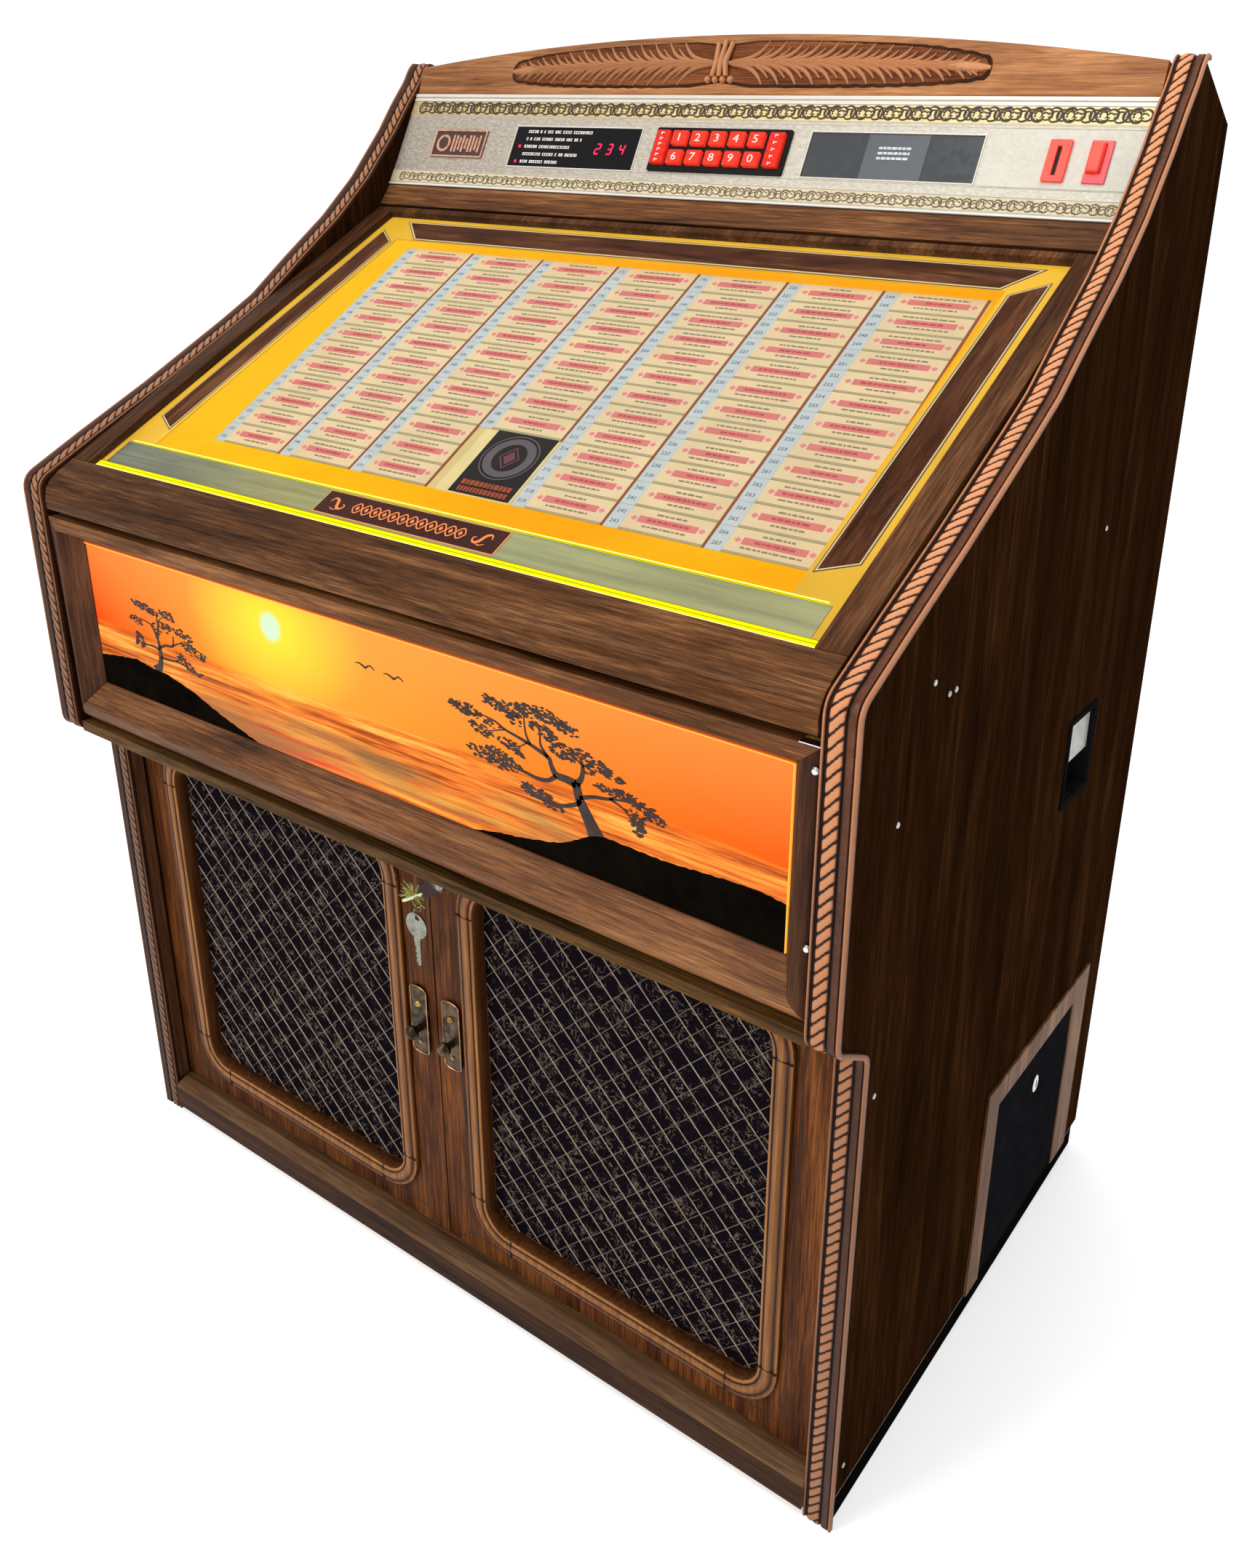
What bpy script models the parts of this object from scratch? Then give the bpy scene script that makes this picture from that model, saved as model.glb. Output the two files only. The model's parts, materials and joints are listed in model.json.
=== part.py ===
"""Console jukebox: wooden cabinet with a lift-up title lid, push-button keypad,
illuminated picture panel, two hinged speaker doors and the record-playing
mechanism inside.  Metres, +Z up, front faces -Y, origin at the centre of the
base of the bounding box."""

import math

import bpy
import bmesh
from mathutils import Matrix, Vector

for old in list(bpy.data.objects):
    bpy.data.objects.remove(old, do_unlink=True)

# ------------------------------------------------------------------ dimensions
HALF_W = 0.5075            # half of the overall width
PANEL_T = 0.0305           # side panel and edge trim width
XI = HALF_W - PANEL_T      # inner face of the side panels
PANEL_X = 0.5038           # outer face of the side panels
TRIM_T = 0.0050            # thickness of the moulded edge trim
BACK_Y = 0.3452            # rear face
GAP = 0.0003               # clearance between touching pieces
FRONT_UP = -0.3451         # front of the upper section
FRONT_LOW = -0.2944        # front of the lower section
DOOR_Y = -0.2740           # front face of the doors
DOOR_T = 0.0180
DOOR_Z0, DOOR_Z1 = 0.0500, 0.5560
DOOR_X0, DOOR_X1 = 0.0010, 0.4745
HINGE_X, HINGE_Y = 0.4735, -0.2730
OPEN_X0, OPEN_X1 = 0.0630, 0.4125
OPEN_Z0, OPEN_Z1, OPEN_R = 0.0975, 0.5190, 0.032
GLASS_TOP = (0.1284, 1.1080)
GLASS_BOT = (-0.3039, 0.8615)
GLASS_HALF = 0.4455
LID_HALF = 0.4730
LID_AXIS = (0.1366, 1.1150)
FASCIA_TOP = (0.2121, 1.2492)
FASCIA_BOT = (0.1569, 1.1426)
KEY_W, KEY_H, KEY_PITCH = 0.0203, 0.0165, 0.0251
KEY_X0 = -0.0498           # left edge of the first key
KEY_ROWS = (0.0526, 0.0747)  # row centres, measured down the fascia
STAY_L = 0.2050            # stay arm length = distance from lid hinge to stay pivot
STAY_ANGLE = 9.0           # degrees between the track and the stay base line
TRACK_DROP = 8.0           # degrees by which the track dips below the lid plane

model = bpy.data.collections.new("jukebox")
cutters = bpy.data.collections.new("cutters")
bpy.context.scene.collection.children.link(model)
bpy.context.scene.collection.children.link(cutters)


# ------------------------------------------------------------------- materials
def material(name, colour, rough, metal=0.0):
    m = bpy.data.materials.new(name)
    m.use_nodes = True
    b = m.node_tree.nodes["Principled BSDF"]
    b.inputs["Base Color"].default_value = (*colour, 1.0)
    b.inputs["Roughness"].default_value = rough
    b.inputs["Metallic"].default_value = metal
    return m


WALNUT = material("walnut", (0.16, 0.085, 0.045), 0.5)
OAK = material("oak", (0.27, 0.13, 0.06), 0.45)
DARK = material("dark_laminate", (0.05, 0.03, 0.02), 0.55)
COPPER = material("trim_plastic", (0.55, 0.27, 0.14), 0.4)
SILVER = material("fascia_metal", (0.75, 0.72, 0.64), 0.35, 0.8)
BLACK = material("black", (0.02, 0.02, 0.02), 0.4)
RED = material("red_plastic", (0.75, 0.05, 0.02), 0.35)
GLASS = material("glass", (0.9, 0.8, 0.4), 0.05)
PAPER = material("paper", (0.85, 0.78, 0.55), 0.8)
ACRYLIC = material("picture", (0.95, 0.45, 0.1), 0.2)
CLOTH = material("speaker_cloth", (0.03, 0.025, 0.03), 0.9)
BRONZE = material("bronze", (0.25, 0.17, 0.08), 0.4, 0.9)
STEEL = material("steel", (0.6, 0.6, 0.6), 0.35, 0.9)
WHITE = material("white_paint", (0.85, 0.85, 0.82), 0.5)
VINYL = material("vinyl", (0.02, 0.02, 0.02), 0.25)


# --------------------------------------------------------------------- helpers
def put(obj, name, mat):
    """Names the object, gives it its material and moves it to the model."""
    obj.name = name
    obj.data.name = name
    obj.data.materials.clear()
    obj.data.materials.append(mat)
    for c in list(obj.users_collection):
        c.objects.unlink(obj)
    model.objects.link(obj)
    return obj


def box(name, lo, hi, mat, matrix=None):
    """Axis-aligned box between two corners, optionally in a local frame."""
    lo, hi = Vector(lo), Vector(hi)
    size = hi - lo
    me = bpy.data.meshes.new(name)
    bm = bmesh.new()
    bmesh.ops.create_cube(bm, size=1.0)
    bmesh.ops.scale(bm, vec=size, verts=bm.verts)
    bmesh.ops.translate(bm, vec=(lo + hi) / 2, verts=bm.verts)
    bm.to_mesh(me)
    bm.free()
    obj = bpy.data.objects.new(name, me)
    if matrix is not None:
        obj.matrix_world = matrix
    bpy.context.scene.collection.objects.link(obj)
    return put(obj, name, mat)


def flat(name, loops, depth0, depth1, frame, mat):
    """A flat outline (first loop outside, others are holes) extruded from
    depth0 to depth1 along the frame's third axis."""
    cu = bpy.data.curves.new(name, "CURVE")
    cu.dimensions = "2D"
    cu.fill_mode = "BOTH"
    cu.extrude = abs(depth1 - depth0) / 2
    for loop in loops:
        sp = cu.splines.new("POLY")
        sp.points.add(len(loop) - 1)
        for p, (u, v) in zip(sp.points, loop):
            p.co = (u, v, 0.0, 1.0)
        sp.use_cyclic_u = True
    obj = bpy.data.objects.new(name, cu)
    bpy.context.scene.collection.objects.link(obj)
    obj.matrix_world = frame @ Matrix.Translation((0, 0, (depth0 + depth1) / 2))
    return put(obj, name, mat)


def to_mesh(obj):
    """Turns a curve object into a welded mesh object in the same place."""
    bpy.context.view_layer.update()
    graph = bpy.context.evaluated_depsgraph_get()
    me = bpy.data.meshes.new_from_object(obj.evaluated_get(graph))
    bm = bmesh.new()
    bm.from_mesh(me)
    bmesh.ops.remove_doubles(bm, verts=bm.verts, dist=1e-6)
    bmesh.ops.recalc_face_normals(bm, faces=bm.faces)
    bm.to_mesh(me)
    bm.free()
    name, mat, mw = obj.name, obj.data.materials[0], obj.matrix_world.copy()
    data = obj.data
    bpy.data.objects.remove(obj, do_unlink=True)
    bpy.data.curves.remove(data)
    new = bpy.data.objects.new(name, me)
    new.matrix_world = mw
    bpy.context.scene.collection.objects.link(new)
    return put(new, name, mat)


def boolean(obj, other, operation):
    """Joins or cuts obj with a helper, which goes to the cutters collection."""
    mod = obj.modifiers.new(operation.lower(), "BOOLEAN")
    mod.operation = operation
    mod.solver = "EXACT"
    mod.object = other
    for c in list(other.users_collection):
        c.objects.unlink(other)
    cutters.objects.link(other)
    other.hide_render = True
    other.display_type = "WIRE"
    return obj


def turned(name, profile, steps, frame, mat):
    """Screw of an (r, z) profile listed top to bottom, about local Z."""
    me = bpy.data.meshes.new(name)
    me.from_pydata([(r, 0.0, z) for r, z in profile],
                   [(i, i + 1) for i in range(len(profile) - 1)], [])
    obj = bpy.data.objects.new(name, me)
    bpy.context.scene.collection.objects.link(obj)
    put(obj, name, mat)
    mod = obj.modifiers.new("turn", "SCREW")
    mod.steps = mod.render_steps = steps
    mod.use_merge_vertices = True
    mod.merge_threshold = 0.00005
    mod.use_smooth_shade = True
    obj.matrix_world = frame
    return obj


def rounded(x0, x1, z0, z1, r, n=6):
    """Rounded rectangle as a counter-clockwise loop."""
    pts = []
    for cx, cz, a0 in ((x1 - r, z0 + r, -90), (x1 - r, z1 - r, 0),
                       (x0 + r, z1 - r, 90), (x0 + r, z0 + r, 180)):
        for i in range(n + 1):
            a = math.radians(a0 + 90 * i / n)
            pts.append((cx + r * math.cos(a), cz + r * math.sin(a)))
    return pts


def rect(x0, x1, z0, z1):
    return [(x0, z0), (x1, z0), (x1, z1), (x0, z1)]


def circle(cx, cz, r, n=32):
    return [(cx + r * math.cos(2 * math.pi * i / n),
             cz + r * math.sin(2 * math.pi * i / n)) for i in range(n)]


def basis(origin, ax, ay):
    """Frame with local X along ax, local Y along ay."""
    ax, ay = Vector(ax).normalized(), Vector(ay).normalized()
    az = ax.cross(ay)
    m = Matrix((ax, ay, az)).transposed().to_4x4()
    m.translation = Vector(origin)
    return m


YZ = basis((0, 0, 0), (0, 1, 0), (0, 0, 1))      # outline in y,z; depth along +X
XZ = basis((0, 0, 0), (1, 0, 0), (0, 0, 1))      # outline in x,z; depth along -Y
XY = Matrix.Identity(4)                          # outline in x,y; depth along +Z


def slope(top, bottom):
    """Frame on a sloping face: X to the right, Y up the slope, Z outwards."""
    return basis((0, top[0], top[1]), (1, 0, 0),
                 (0, top[0] - bottom[0], top[1] - bottom[1]))


LIDF = slope(GLASS_TOP, GLASS_BOT)
FASF = slope(FASCIA_TOP, FASCIA_BOT)
LID_LEN = math.hypot(GLASS_TOP[0] - GLASS_BOT[0], GLASS_TOP[1] - GLASS_BOT[1])
FAS_LEN = math.hypot(FASCIA_TOP[0] - FASCIA_BOT[0], FASCIA_TOP[1] - FASCIA_BOT[1])


def arc(c, r, a0, a1, n):
    return [(c[0] + r * math.cos(math.radians(a0 + (a1 - a0) * i / n)),
             c[1] + r * math.sin(math.radians(a0 + (a1 - a0) * i / n)))
            for i in range(n + 1)]


def offset_path(path, d):
    """Points moved by d to the left of the direction of travel (mitred)."""
    out = []
    for i, p in enumerate(path):
        a = Vector(path[max(i - 1, 0)])
        b = Vector(p)
        c = Vector(path[min(i + 1, len(path) - 1)])
        d1 = (b - a).normalized() if (b - a).length > 1e-9 else (c - b).normalized()
        d2 = (c - b).normalized() if (c - b).length > 1e-9 else d1
        n1, n2 = Vector((-d1.y, d1.x)), Vector((-d2.y, d2.x))
        m = (n1 + n2).normalized()
        out.append(tuple(b + m * (d / max(m.dot(n1), 0.3))))
    return out


# ------------------------------------------------------- side profile (y, z)
# The front edge from the floor, up the lower front, round the overhang and
# the nose, and up the concave slope to the rounded top.
EDGE = [(FRONT_LOW, 0.0)]
EDGE += [(FRONT_LOW, 0.5260)]
EDGE += arc((-0.3044, 0.5260), 0.0100, 0, 58, 3)[1:]
EDGE += [(-0.3340, 0.5572)]
EDGE += arc((-0.3311, 0.5712), 0.0140, 258, 180, 4)[1:]
EDGE += arc((-0.3231, 0.8330), 0.0220, 180, 118, 4)
EDGE += [(-0.2734, 0.8854), (-0.1912, 0.9289), (-0.0841, 0.9897),
         (-0.0409, 1.0156), (0.0085, 1.0549), (0.0719, 1.1032),
         (0.1214, 1.1486), (0.1702, 1.2047), (0.1948, 1.2380),
         (0.2164, 1.2640)]
EDGE += [(0.2262, 1.2800), (0.2345, 1.2880), (0.2440, 1.2862)]
INNER = offset_path(EDGE, -TRIM_T - GAP)


def side_outline():
    """Panel outline behind the trim, closed over the top, back and bottom."""
    pts = [(INNER[0][0], 0.0300)] + INNER[1:-1]
    pts += [(0.2440, 1.2800), (0.3445, 1.2323), (BACK_Y, 0.0300)]
    return pts


def trim_outline():
    # The strip between the outer edge and the panel, closed as a flat outline.
    outer = list(EDGE)
    inner = offset_path(EDGE, -TRIM_T)
    return outer + inner[::-1]


CASH_Y0, CASH_Y1 = 0.0289, 0.2452       # opening behind the cash door
CASH_Z0, CASH_Z1 = 0.0345, 0.2694
CUP_Y0, CUP_Y1, CUP_Z0, CUP_Z1 = 0.1100, 0.1750, 0.5880, 0.6740

flat("side_panel_left", [side_outline()], -PANEL_X, -XI, YZ, DARK)
flat("side_panel_right",
     [side_outline(), rect(CASH_Y0 - 0.001, CASH_Y1 + 0.001, CASH_Z0 - 0.001, CASH_Z1 + 0.001),
      rect(CUP_Y0 - 0.002, CUP_Y1 + 0.002, CUP_Z0 - 0.002, CUP_Z1 + 0.002)],
     XI, PANEL_X, YZ, DARK)
flat("edge_trim_left", [trim_outline()], -HALF_W, -XI, YZ, COPPER)
flat("edge_trim_right", [trim_outline()], XI, HALF_W, YZ, COPPER)

# ----------------------------------------------------------- carcass and base
INN = XI - GAP
box("base_plinth", (-INN, -0.2610, 0.0), (INN, 0.3320, 0.0450), BLACK)
back = flat("back_panel", [rect(-INN, INN, 0.0300, 1.2180),
                           rect(-0.30, 0.02, 0.80, 0.8062),
                           rect(-0.30, 0.02, 0.83, 0.8362),
                           rect(-0.30, 0.02, 0.86, 0.8662),
                           rect(-0.4200, -0.3800, 0.1000, 0.1300)],
            -BACK_Y + GAP, -0.3323, XZ, DARK)
flat("top_board", [[(0.2372, 1.2790), (0.3440, 1.2298), (0.3440, 1.2190), (0.3320, 1.2190),
                    (0.2450, 1.2600)]], -INN, INN, YZ, DARK)
flat("base_rail", [[(-0.2955, 0.0385), (-0.2825, 0.0467), (-0.2613, 0.0467),
                    (-0.2613, 0.0080), (-0.2955, 0.0080)]], -INN, INN, YZ, OAK)
# The soffit closes the underside of the overhang; its lip is the door stop
# and the strike for the lock cam.
flat("soffit_board", [[(-0.3395, 0.5585), (-0.2550, 0.5585), (-0.2550, 0.5250), (-0.2505, 0.5250),
                       (-0.2505, 0.5585), (-0.2400, 0.5585), (-0.2400, 0.5705), (-0.3395, 0.5705)]],
     -INN, INN, YZ, WALNUT)

# Crest: an arched board above the fascia with a carved leaf relief.
CRF = slope((0.2252, 1.2821), (0.2128, 1.2490))
CREST_H0, CREST_H1 = 0.0340, 0.0668
crest_l = 0.4755
low = -0.0353
crest = [(-crest_l, low + 0.0006), (crest_l, low + 0.0006)]
crest += [(crest_l * (1 - 2 * i / 24.0),
           low + CREST_H0 + (CREST_H1 - CREST_H0) * (1 - (1 - 2 * i / 24.0) ** 2))
          for i in range(25)]
cb = to_mesh(flat("crest_board", [crest], -0.0120, 0.0, CRF, OAK))
relief = [(0.31 * math.cos(2 * math.pi * i / 28),
           0.0040 + 0.0135 * math.sin(2 * math.pi * i / 28)) for i in range(28)]
rl = to_mesh(flat("crest_relief", [relief], -0.004, 0.0035, CRF, OAK))
boolean(cb, rl, "UNION")

# -------------------------------------------------------------- control fascia
# Local frame: x to the right, y up the slope with 0 at the top edge.
SLOT_X = (0.3859, 0.4074)
REJ_X = (0.4278, 0.4405)
fascia_holes = [
    rect(-0.2872, -0.0983, -0.0905, -0.0404),      # selection display
    rect(-0.0735, 0.0990, -0.0865, -0.0415),       # keypad
    rect(0.1238, 0.3182, -0.0894, -0.0398),        # information window
    rect(0.3943, 0.3990, -0.0790, -0.0500),        # coin slot
    rect(REJ_X[0] - 0.0004, REJ_X[1] + 0.0004, -0.0762, -0.0463),
]
flat("control_fascia", [rect(-INN, INN, -FAS_LEN, -0.0004)] + fascia_holes,
     -0.0060, 0.0, FASF, SILVER)
flat("display_window", [rect(-0.2869, -0.0986, -0.0902, -0.0407)], -0.0040, -0.0008, FASF, BLACK)
flat("info_window", [rect(0.1241, 0.3179, -0.0891, -0.0401)], -0.0040, -0.0008, FASF, BLACK)
flat("coin_slot_plate", [rounded(SLOT_X[0], SLOT_X[1], -0.0853, -0.0436, 0.0015, 2),
                         rect(0.3943, 0.3990, -0.0790, -0.0500)],
     GAP, 0.0035, FASF, RED)

# Keypad bezel with one clear hole for each key.
KG = 0.0005
key_boxes = []
for row, sc in enumerate(KEY_ROWS):
    for col in range(5):
        x0 = KEY_X0 + col * KEY_PITCH
        digit = (row * 5 + col + 1) % 10
        key_boxes.append(("key_%d" % digit, x0, x0 + KEY_W, -sc - KEY_H / 2, -sc + KEY_H / 2))
key_boxes.append(("key_cancel", -0.0719, -0.0538, -0.0829, -0.0442))
key_boxes.append(("key_reset", 0.0766, 0.0957, -0.0829, -0.0442))
flat("keypad_bezel",
     [rounded(-0.0750, 0.1015, -0.0900, -0.0396, 0.002, 2)]
     + [rect(a - KG, b + KG, c - KG, d + KG) for _, a, b, c, d in key_boxes],
     GAP, 0.0030, FASF, BLACK)
for name, a, b, c, d in key_boxes:
    cx, cy = (a + b) / 2, (c + d) / 2
    k = box(name, (a - cx, c - cy, -0.0100), (b - cx, d - cy, 0.0072), RED,
            FASF @ Matrix.Translation((cx, cy, 0)))
    bv = k.modifiers.new("edge", "BEVEL")
    bv.width = 0.0012
    bv.segments = 1
    bv.limit_method = "ANGLE"
# Reject lever: a rocker cap sliding in through the fascia.
cx, cy = sum(REJ_X) / 2, -0.06125
rj = box("coin_reject_button", (REJ_X[0] - cx, -0.0145, -0.0180),
         (REJ_X[1] - cx, 0.0145, 0.0075), RED, FASF @ Matrix.Translation((cx, cy, 0)))
bv = rj.modifiers.new("edge", "BEVEL")
bv.width = 0.0015
bv.segments = 1
# Coin acceptor behind the slot, with a through throat for the coin.
flat("coin_acceptor", [[(0.3750, -0.1060), (0.4200, -0.1060), (0.4200, -0.0280), (0.3750, -0.0280)],
                       rect(0.3943, 0.3990, -0.0790, -0.0500)],
     -0.0600, -0.0063, FASF, STEEL)

# Rear rail between the fascia and the lid.
flat("rear_rail", [[(0.1562, 1.1412), (0.1395, 1.1182), (0.1540, 1.1085), (0.1700, 1.1310),
                    (0.1614, 1.1382)]], -INN, INN, YZ, WALNUT)

# -------------------------------------------------------------- picture window
PX, PZ0, PZ1 = 0.4460, 0.6190, 0.7820
pf = to_mesh(flat("picture_frame",
     [rect(-0.4755, 0.4755, 0.5735, 0.8072), rect(-PX, PX, PZ0, PZ1)],
     0.3205, 0.3430, XZ, WALNUT))
box("picture_panel", (-0.4520, -0.3202, 0.6130), (0.4520, -0.3172, 0.7880), ACRYLIC)
tray = flat("lightbox_tray", [[(-0.3165, 0.8000), (-0.3165, 0.7950), (-0.2600, 0.7950),
                               (-0.2600, 0.6050), (-0.3165, 0.6050), (-0.3165, 0.6000),
                               (-0.2550, 0.6000), (-0.2550, 0.8000)]],
            -0.4600, 0.4600, YZ, WHITE)
turned("picture_lamp", [(0.0, 0.43), (0.010, 0.43), (0.013, 0.427), (0.013, -0.427),
                        (0.010, -0.43), (0.0, -0.43)], 12,
       basis((0, -0.2850, 0.7000), (0, 1, 0), (0, 0, 1)), WHITE)

# ------------------------------------------------------------------------ doors
def door(side):
    s = 1 if side == "right" else -1
    x0, x1 = sorted((s * DOOR_X0, s * DOOR_X1))
    a, b = sorted((s * OPEN_X0, s * OPEN_X1))
    org = Matrix.Translation((s * HINGE_X, HINGE_Y, 0))
    loops = [rect(x0, x1, DOOR_Z0, DOOR_Z1), rounded(a, b, OPEN_Z0, OPEN_Z1, OPEN_R)]
    if side == "right":
        loops.append(circle(0.0145, 0.5050, 0.0083, 16))
    loops = [[(u - s * HINGE_X, v) for u, v in loop] for loop in loops]
    frame = to_mesh(flat("door_" + side, loops, DOOR_Y * -1 - DOOR_T + HINGE_Y,
                         DOOR_Y * -1 + HINGE_Y, org @ XZ, OAK))
    # Raised bead around the grille opening.
    bead = flat("bead_" + side,
                [[(u - s * HINGE_X, v) for u, v in rounded(a - 0.0200, b + 0.0200, OPEN_Z0 - 0.0190,
                                                          OPEN_Z1 + 0.0190, 0.048)],
                 [(u - s * HINGE_X, v) for u, v in rounded(a - 0.0012, b + 0.0012, OPEN_Z0 - 0.0012,
                                                          OPEN_Z1 + 0.0012, OPEN_R + 0.0012)]],
                DOOR_Y * -1 + HINGE_Y - 0.004, DOOR_Y * -1 + HINGE_Y + 0.005, org @ XZ, OAK)
    boolean(frame, to_mesh(bead), "UNION")
    # Speaker cloth panel fixed behind the opening.
    g = flat("grille_" + side,
             [[(u - s * HINGE_X, v) for u, v in rounded(a + 0.0003, b - 0.0003, OPEN_Z0 + 0.0003,
                                                       OPEN_Z1 - 0.0003, OPEN_R)]],
             DOOR_Y * -1 - DOOR_T + HINGE_Y + 0.001, DOOR_Y * -1 - DOOR_T + HINGE_Y + 0.007,
             org @ XZ, CLOTH)
    # Pull: long back plate with a knob.
    cxp = s * 0.0235
    plate = to_mesh(flat("pull_" + side,
                         [[(u - s * HINGE_X, v) for u, v in
                           rounded(cxp - 0.0125, cxp + 0.0125, 0.2850, 0.3700, 0.0120, 5)]],
                         DOOR_Y * -1 + HINGE_Y + GAP, DOOR_Y * -1 + HINGE_Y + 0.0030,
                         org @ XZ, BRONZE))
    knob = turned("knob_" + side, [(0.0, 0.020), (0.0050, 0.0190), (0.0085, 0.0150),
                                   (0.0070, 0.0110), (0.0040, 0.0080), (0.0040, 0.0005), (0.0, 0.0005)],
                  16, basis((cxp - s * 0, DOOR_Y - GAP, 0.3180), (1, 0, 0), (0, 0, 1)), BRONZE)
    boolean(plate, knob, "UNION")


door("left")
door("right")

# Cam lock in the right door: barrel, key and cam turn together.
kf = basis((0.0145, DOOR_Y, 0.5050), (1, 0, 0), (0, 0, 1))
lk = turned("lock_key", [(0.0, 0.0030), (0.0068, 0.0030), (0.0080, 0.0020), (0.0080, -0.0260),
                         (0.0, -0.0260)], 16, kf, STEEL)
bow = box("key_bow", (-0.0011, -0.0100, 0.0020), (0.0011, 0.0100, 0.0260), STEEL, kf)
cam = box("cam", (-0.0070, -0.0060, -0.0275), (0.0330, 0.0060, -0.0245), STEEL, kf)
boolean(lk, bow, "UNION")
boolean(lk, cam, "UNION")

# ------------------------------------------------------------------ hinged lid
LIDA = Matrix.Translation((0, LID_AXIS[0], LID_AXIS[1]))
LIN = LIDA.inverted() @ LIDF
lf = to_mesh(flat("lid_frame",
     [[(-LID_HALF, -LID_LEN), (-LID_HALF, 0.0100), (LID_HALF, 0.0100), (LID_HALF, -LID_LEN),
       (GLASS_HALF, -LID_LEN), (GLASS_HALF, 0.0), (-GLASS_HALF, 0.0), (-GLASS_HALF, -LID_LEN)]],
     -0.0220, 0.0030, LIN, WALNUT))
lf.matrix_world = LIDA @ lf.matrix_world
# Stay track: a slotted plate under the right rail whose slot line runs
# through the lid hinge axis, TRACK_DROP degrees below the lid plane.
lid_ang = math.atan2(GLASS_BOT[1] - GLASS_TOP[1], GLASS_BOT[0] - GLASS_TOP[0])
tr_ang = lid_ang + math.radians(TRACK_DROP)
tu = Vector((math.cos(tr_ang), math.sin(tr_ang)))
tn = Vector((-tu.y, tu.x))                         # points below the track
if tn.y > 0:
    tn = -tn
AX = Vector(LID_AXIS)


def on_track(d, off):
    p = AX + tu * d + tn * off
    return (p.x, p.y)


S_OUT = 2 * STAY_L * math.cos(math.radians(STAY_ANGLE))
S_IN = 2 * STAY_L * math.cos(math.radians(STAY_ANGLE + 50.0))
PIN_R = 0.0030
lu = Vector((math.cos(lid_ang), math.sin(lid_ang)))
ln = Vector((-lu.y, lu.x))
if ln.y < 0:
    ln = -ln


def under_lid(d, depth):
    """Point d down the lid from its hinge end, depth below its top face."""
    p = Vector(GLASS_TOP) + lu * d - ln * depth
    return (p.x, p.y)


plate = to_mesh(flat("stay_track",
    [[on_track(S_IN - 0.020, 0.009), on_track(S_OUT + 0.015, 0.009),
      under_lid(S_OUT + 0.010, 0.0150), under_lid(S_IN - 0.020, 0.0150)],
     [on_track(S_IN - 0.006, PIN_R + 0.0006), on_track(S_OUT + 0.006, PIN_R + 0.0006),
      on_track(S_OUT + 0.006, -PIN_R - 0.0006), on_track(S_IN - 0.006, -PIN_R - 0.0006)]],
    0.4480, 0.4510, YZ, STEEL))
boolean(lf, plate, "UNION")

fr = flat("lid_front_rail", [[
    under_lid(LID_LEN + 0.0003, -0.0030), (-0.3235, 0.8535), (-0.3335, 0.8462), (-0.3395, 0.8370),
    (-0.3420, 0.8260), (-0.3415, 0.8155), (-0.3180, 0.8155), under_lid(LID_LEN + 0.0003, 0.0220)]],
    -LID_HALF, LID_HALF, LIDA @ LIDA.inverted() @ YZ, WALNUT)
flat("lid_glass", [rect(-GLASS_HALF + GAP, GLASS_HALF - GAP, -LID_LEN + GAP, -GAP)],
     -0.0040, 0.0, LIDF, GLASS)
# Title board: a shallow sloping tray under the glass carrying the title strips.
tb = basis((0, GLASS_TOP[0], GLASS_TOP[1]), (1, 0, 0), (0, -lu.x, -lu.y))
flat("title_board", [[under_lid(0.0150, 0.0150), under_lid(0.4560, 0.0400),
                      under_lid(0.4560, 0.0460), under_lid(0.0150, 0.0230)]],
     -0.3950, 0.3950, YZ, PAPER)

# Stay arm: pivots on the right panel, its pin runs in the track.
bd = tr_ang + math.radians(STAY_ANGLE)
PIVOT = AX + Vector((math.cos(bd), math.sin(bd))) * STAY_L
PIN = AX + tu * S_OUT
d = (PIN - PIVOT).normalized()
nrm = Vector((-d.y, d.x))
w = 0.0065
tip = 0.0040
arm_loop = [tuple(PIVOT - d * w + nrm * 0.003), tuple(PIVOT - d * w * 0.6 + nrm * w),
            tuple(PIN - d * 0.020 + nrm * tip), tuple(PIN + nrm * tip),
            tuple(PIN + d * tip + nrm * 0.0015), tuple(PIN + d * tip - nrm * 0.0015), tuple(PIN - nrm * tip),
            tuple(PIN - d * 0.020 - nrm * tip),
            tuple(PIVOT - d * w * 0.6 - nrm * w), tuple(PIVOT - d * w - nrm * 0.003)]
arm = to_mesh(flat("lid_stay_arm",
                   [[(u - PIVOT.x, v - PIVOT.y) for u, v in arm_loop]],
                   0.4540, 0.4570, Matrix.Translation((0, PIVOT.x, PIVOT.y)) @ YZ, STEEL))
pin = turned("stay_pin", [(0.0, 0.4555), (PIN_R, 0.4555), (PIN_R, 0.4470), (0.0, 0.4470)], 16,
             basis((0, PIN.x, PIN.y), (0, 1, 0), (0, 0, 1)), STEEL)
piv = turned("stay_pivot", [(0.0, XI - GAP), (0.0045, XI - GAP), (0.0045, 0.4545), (0.0, 0.4545)], 16,
             basis((0, PIVOT.x, PIVOT.y), (0, 1, 0), (0, 0, 1)), STEEL)
boolean(arm, pin, "UNION")
boolean(arm, piv, "UNION")

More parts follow.
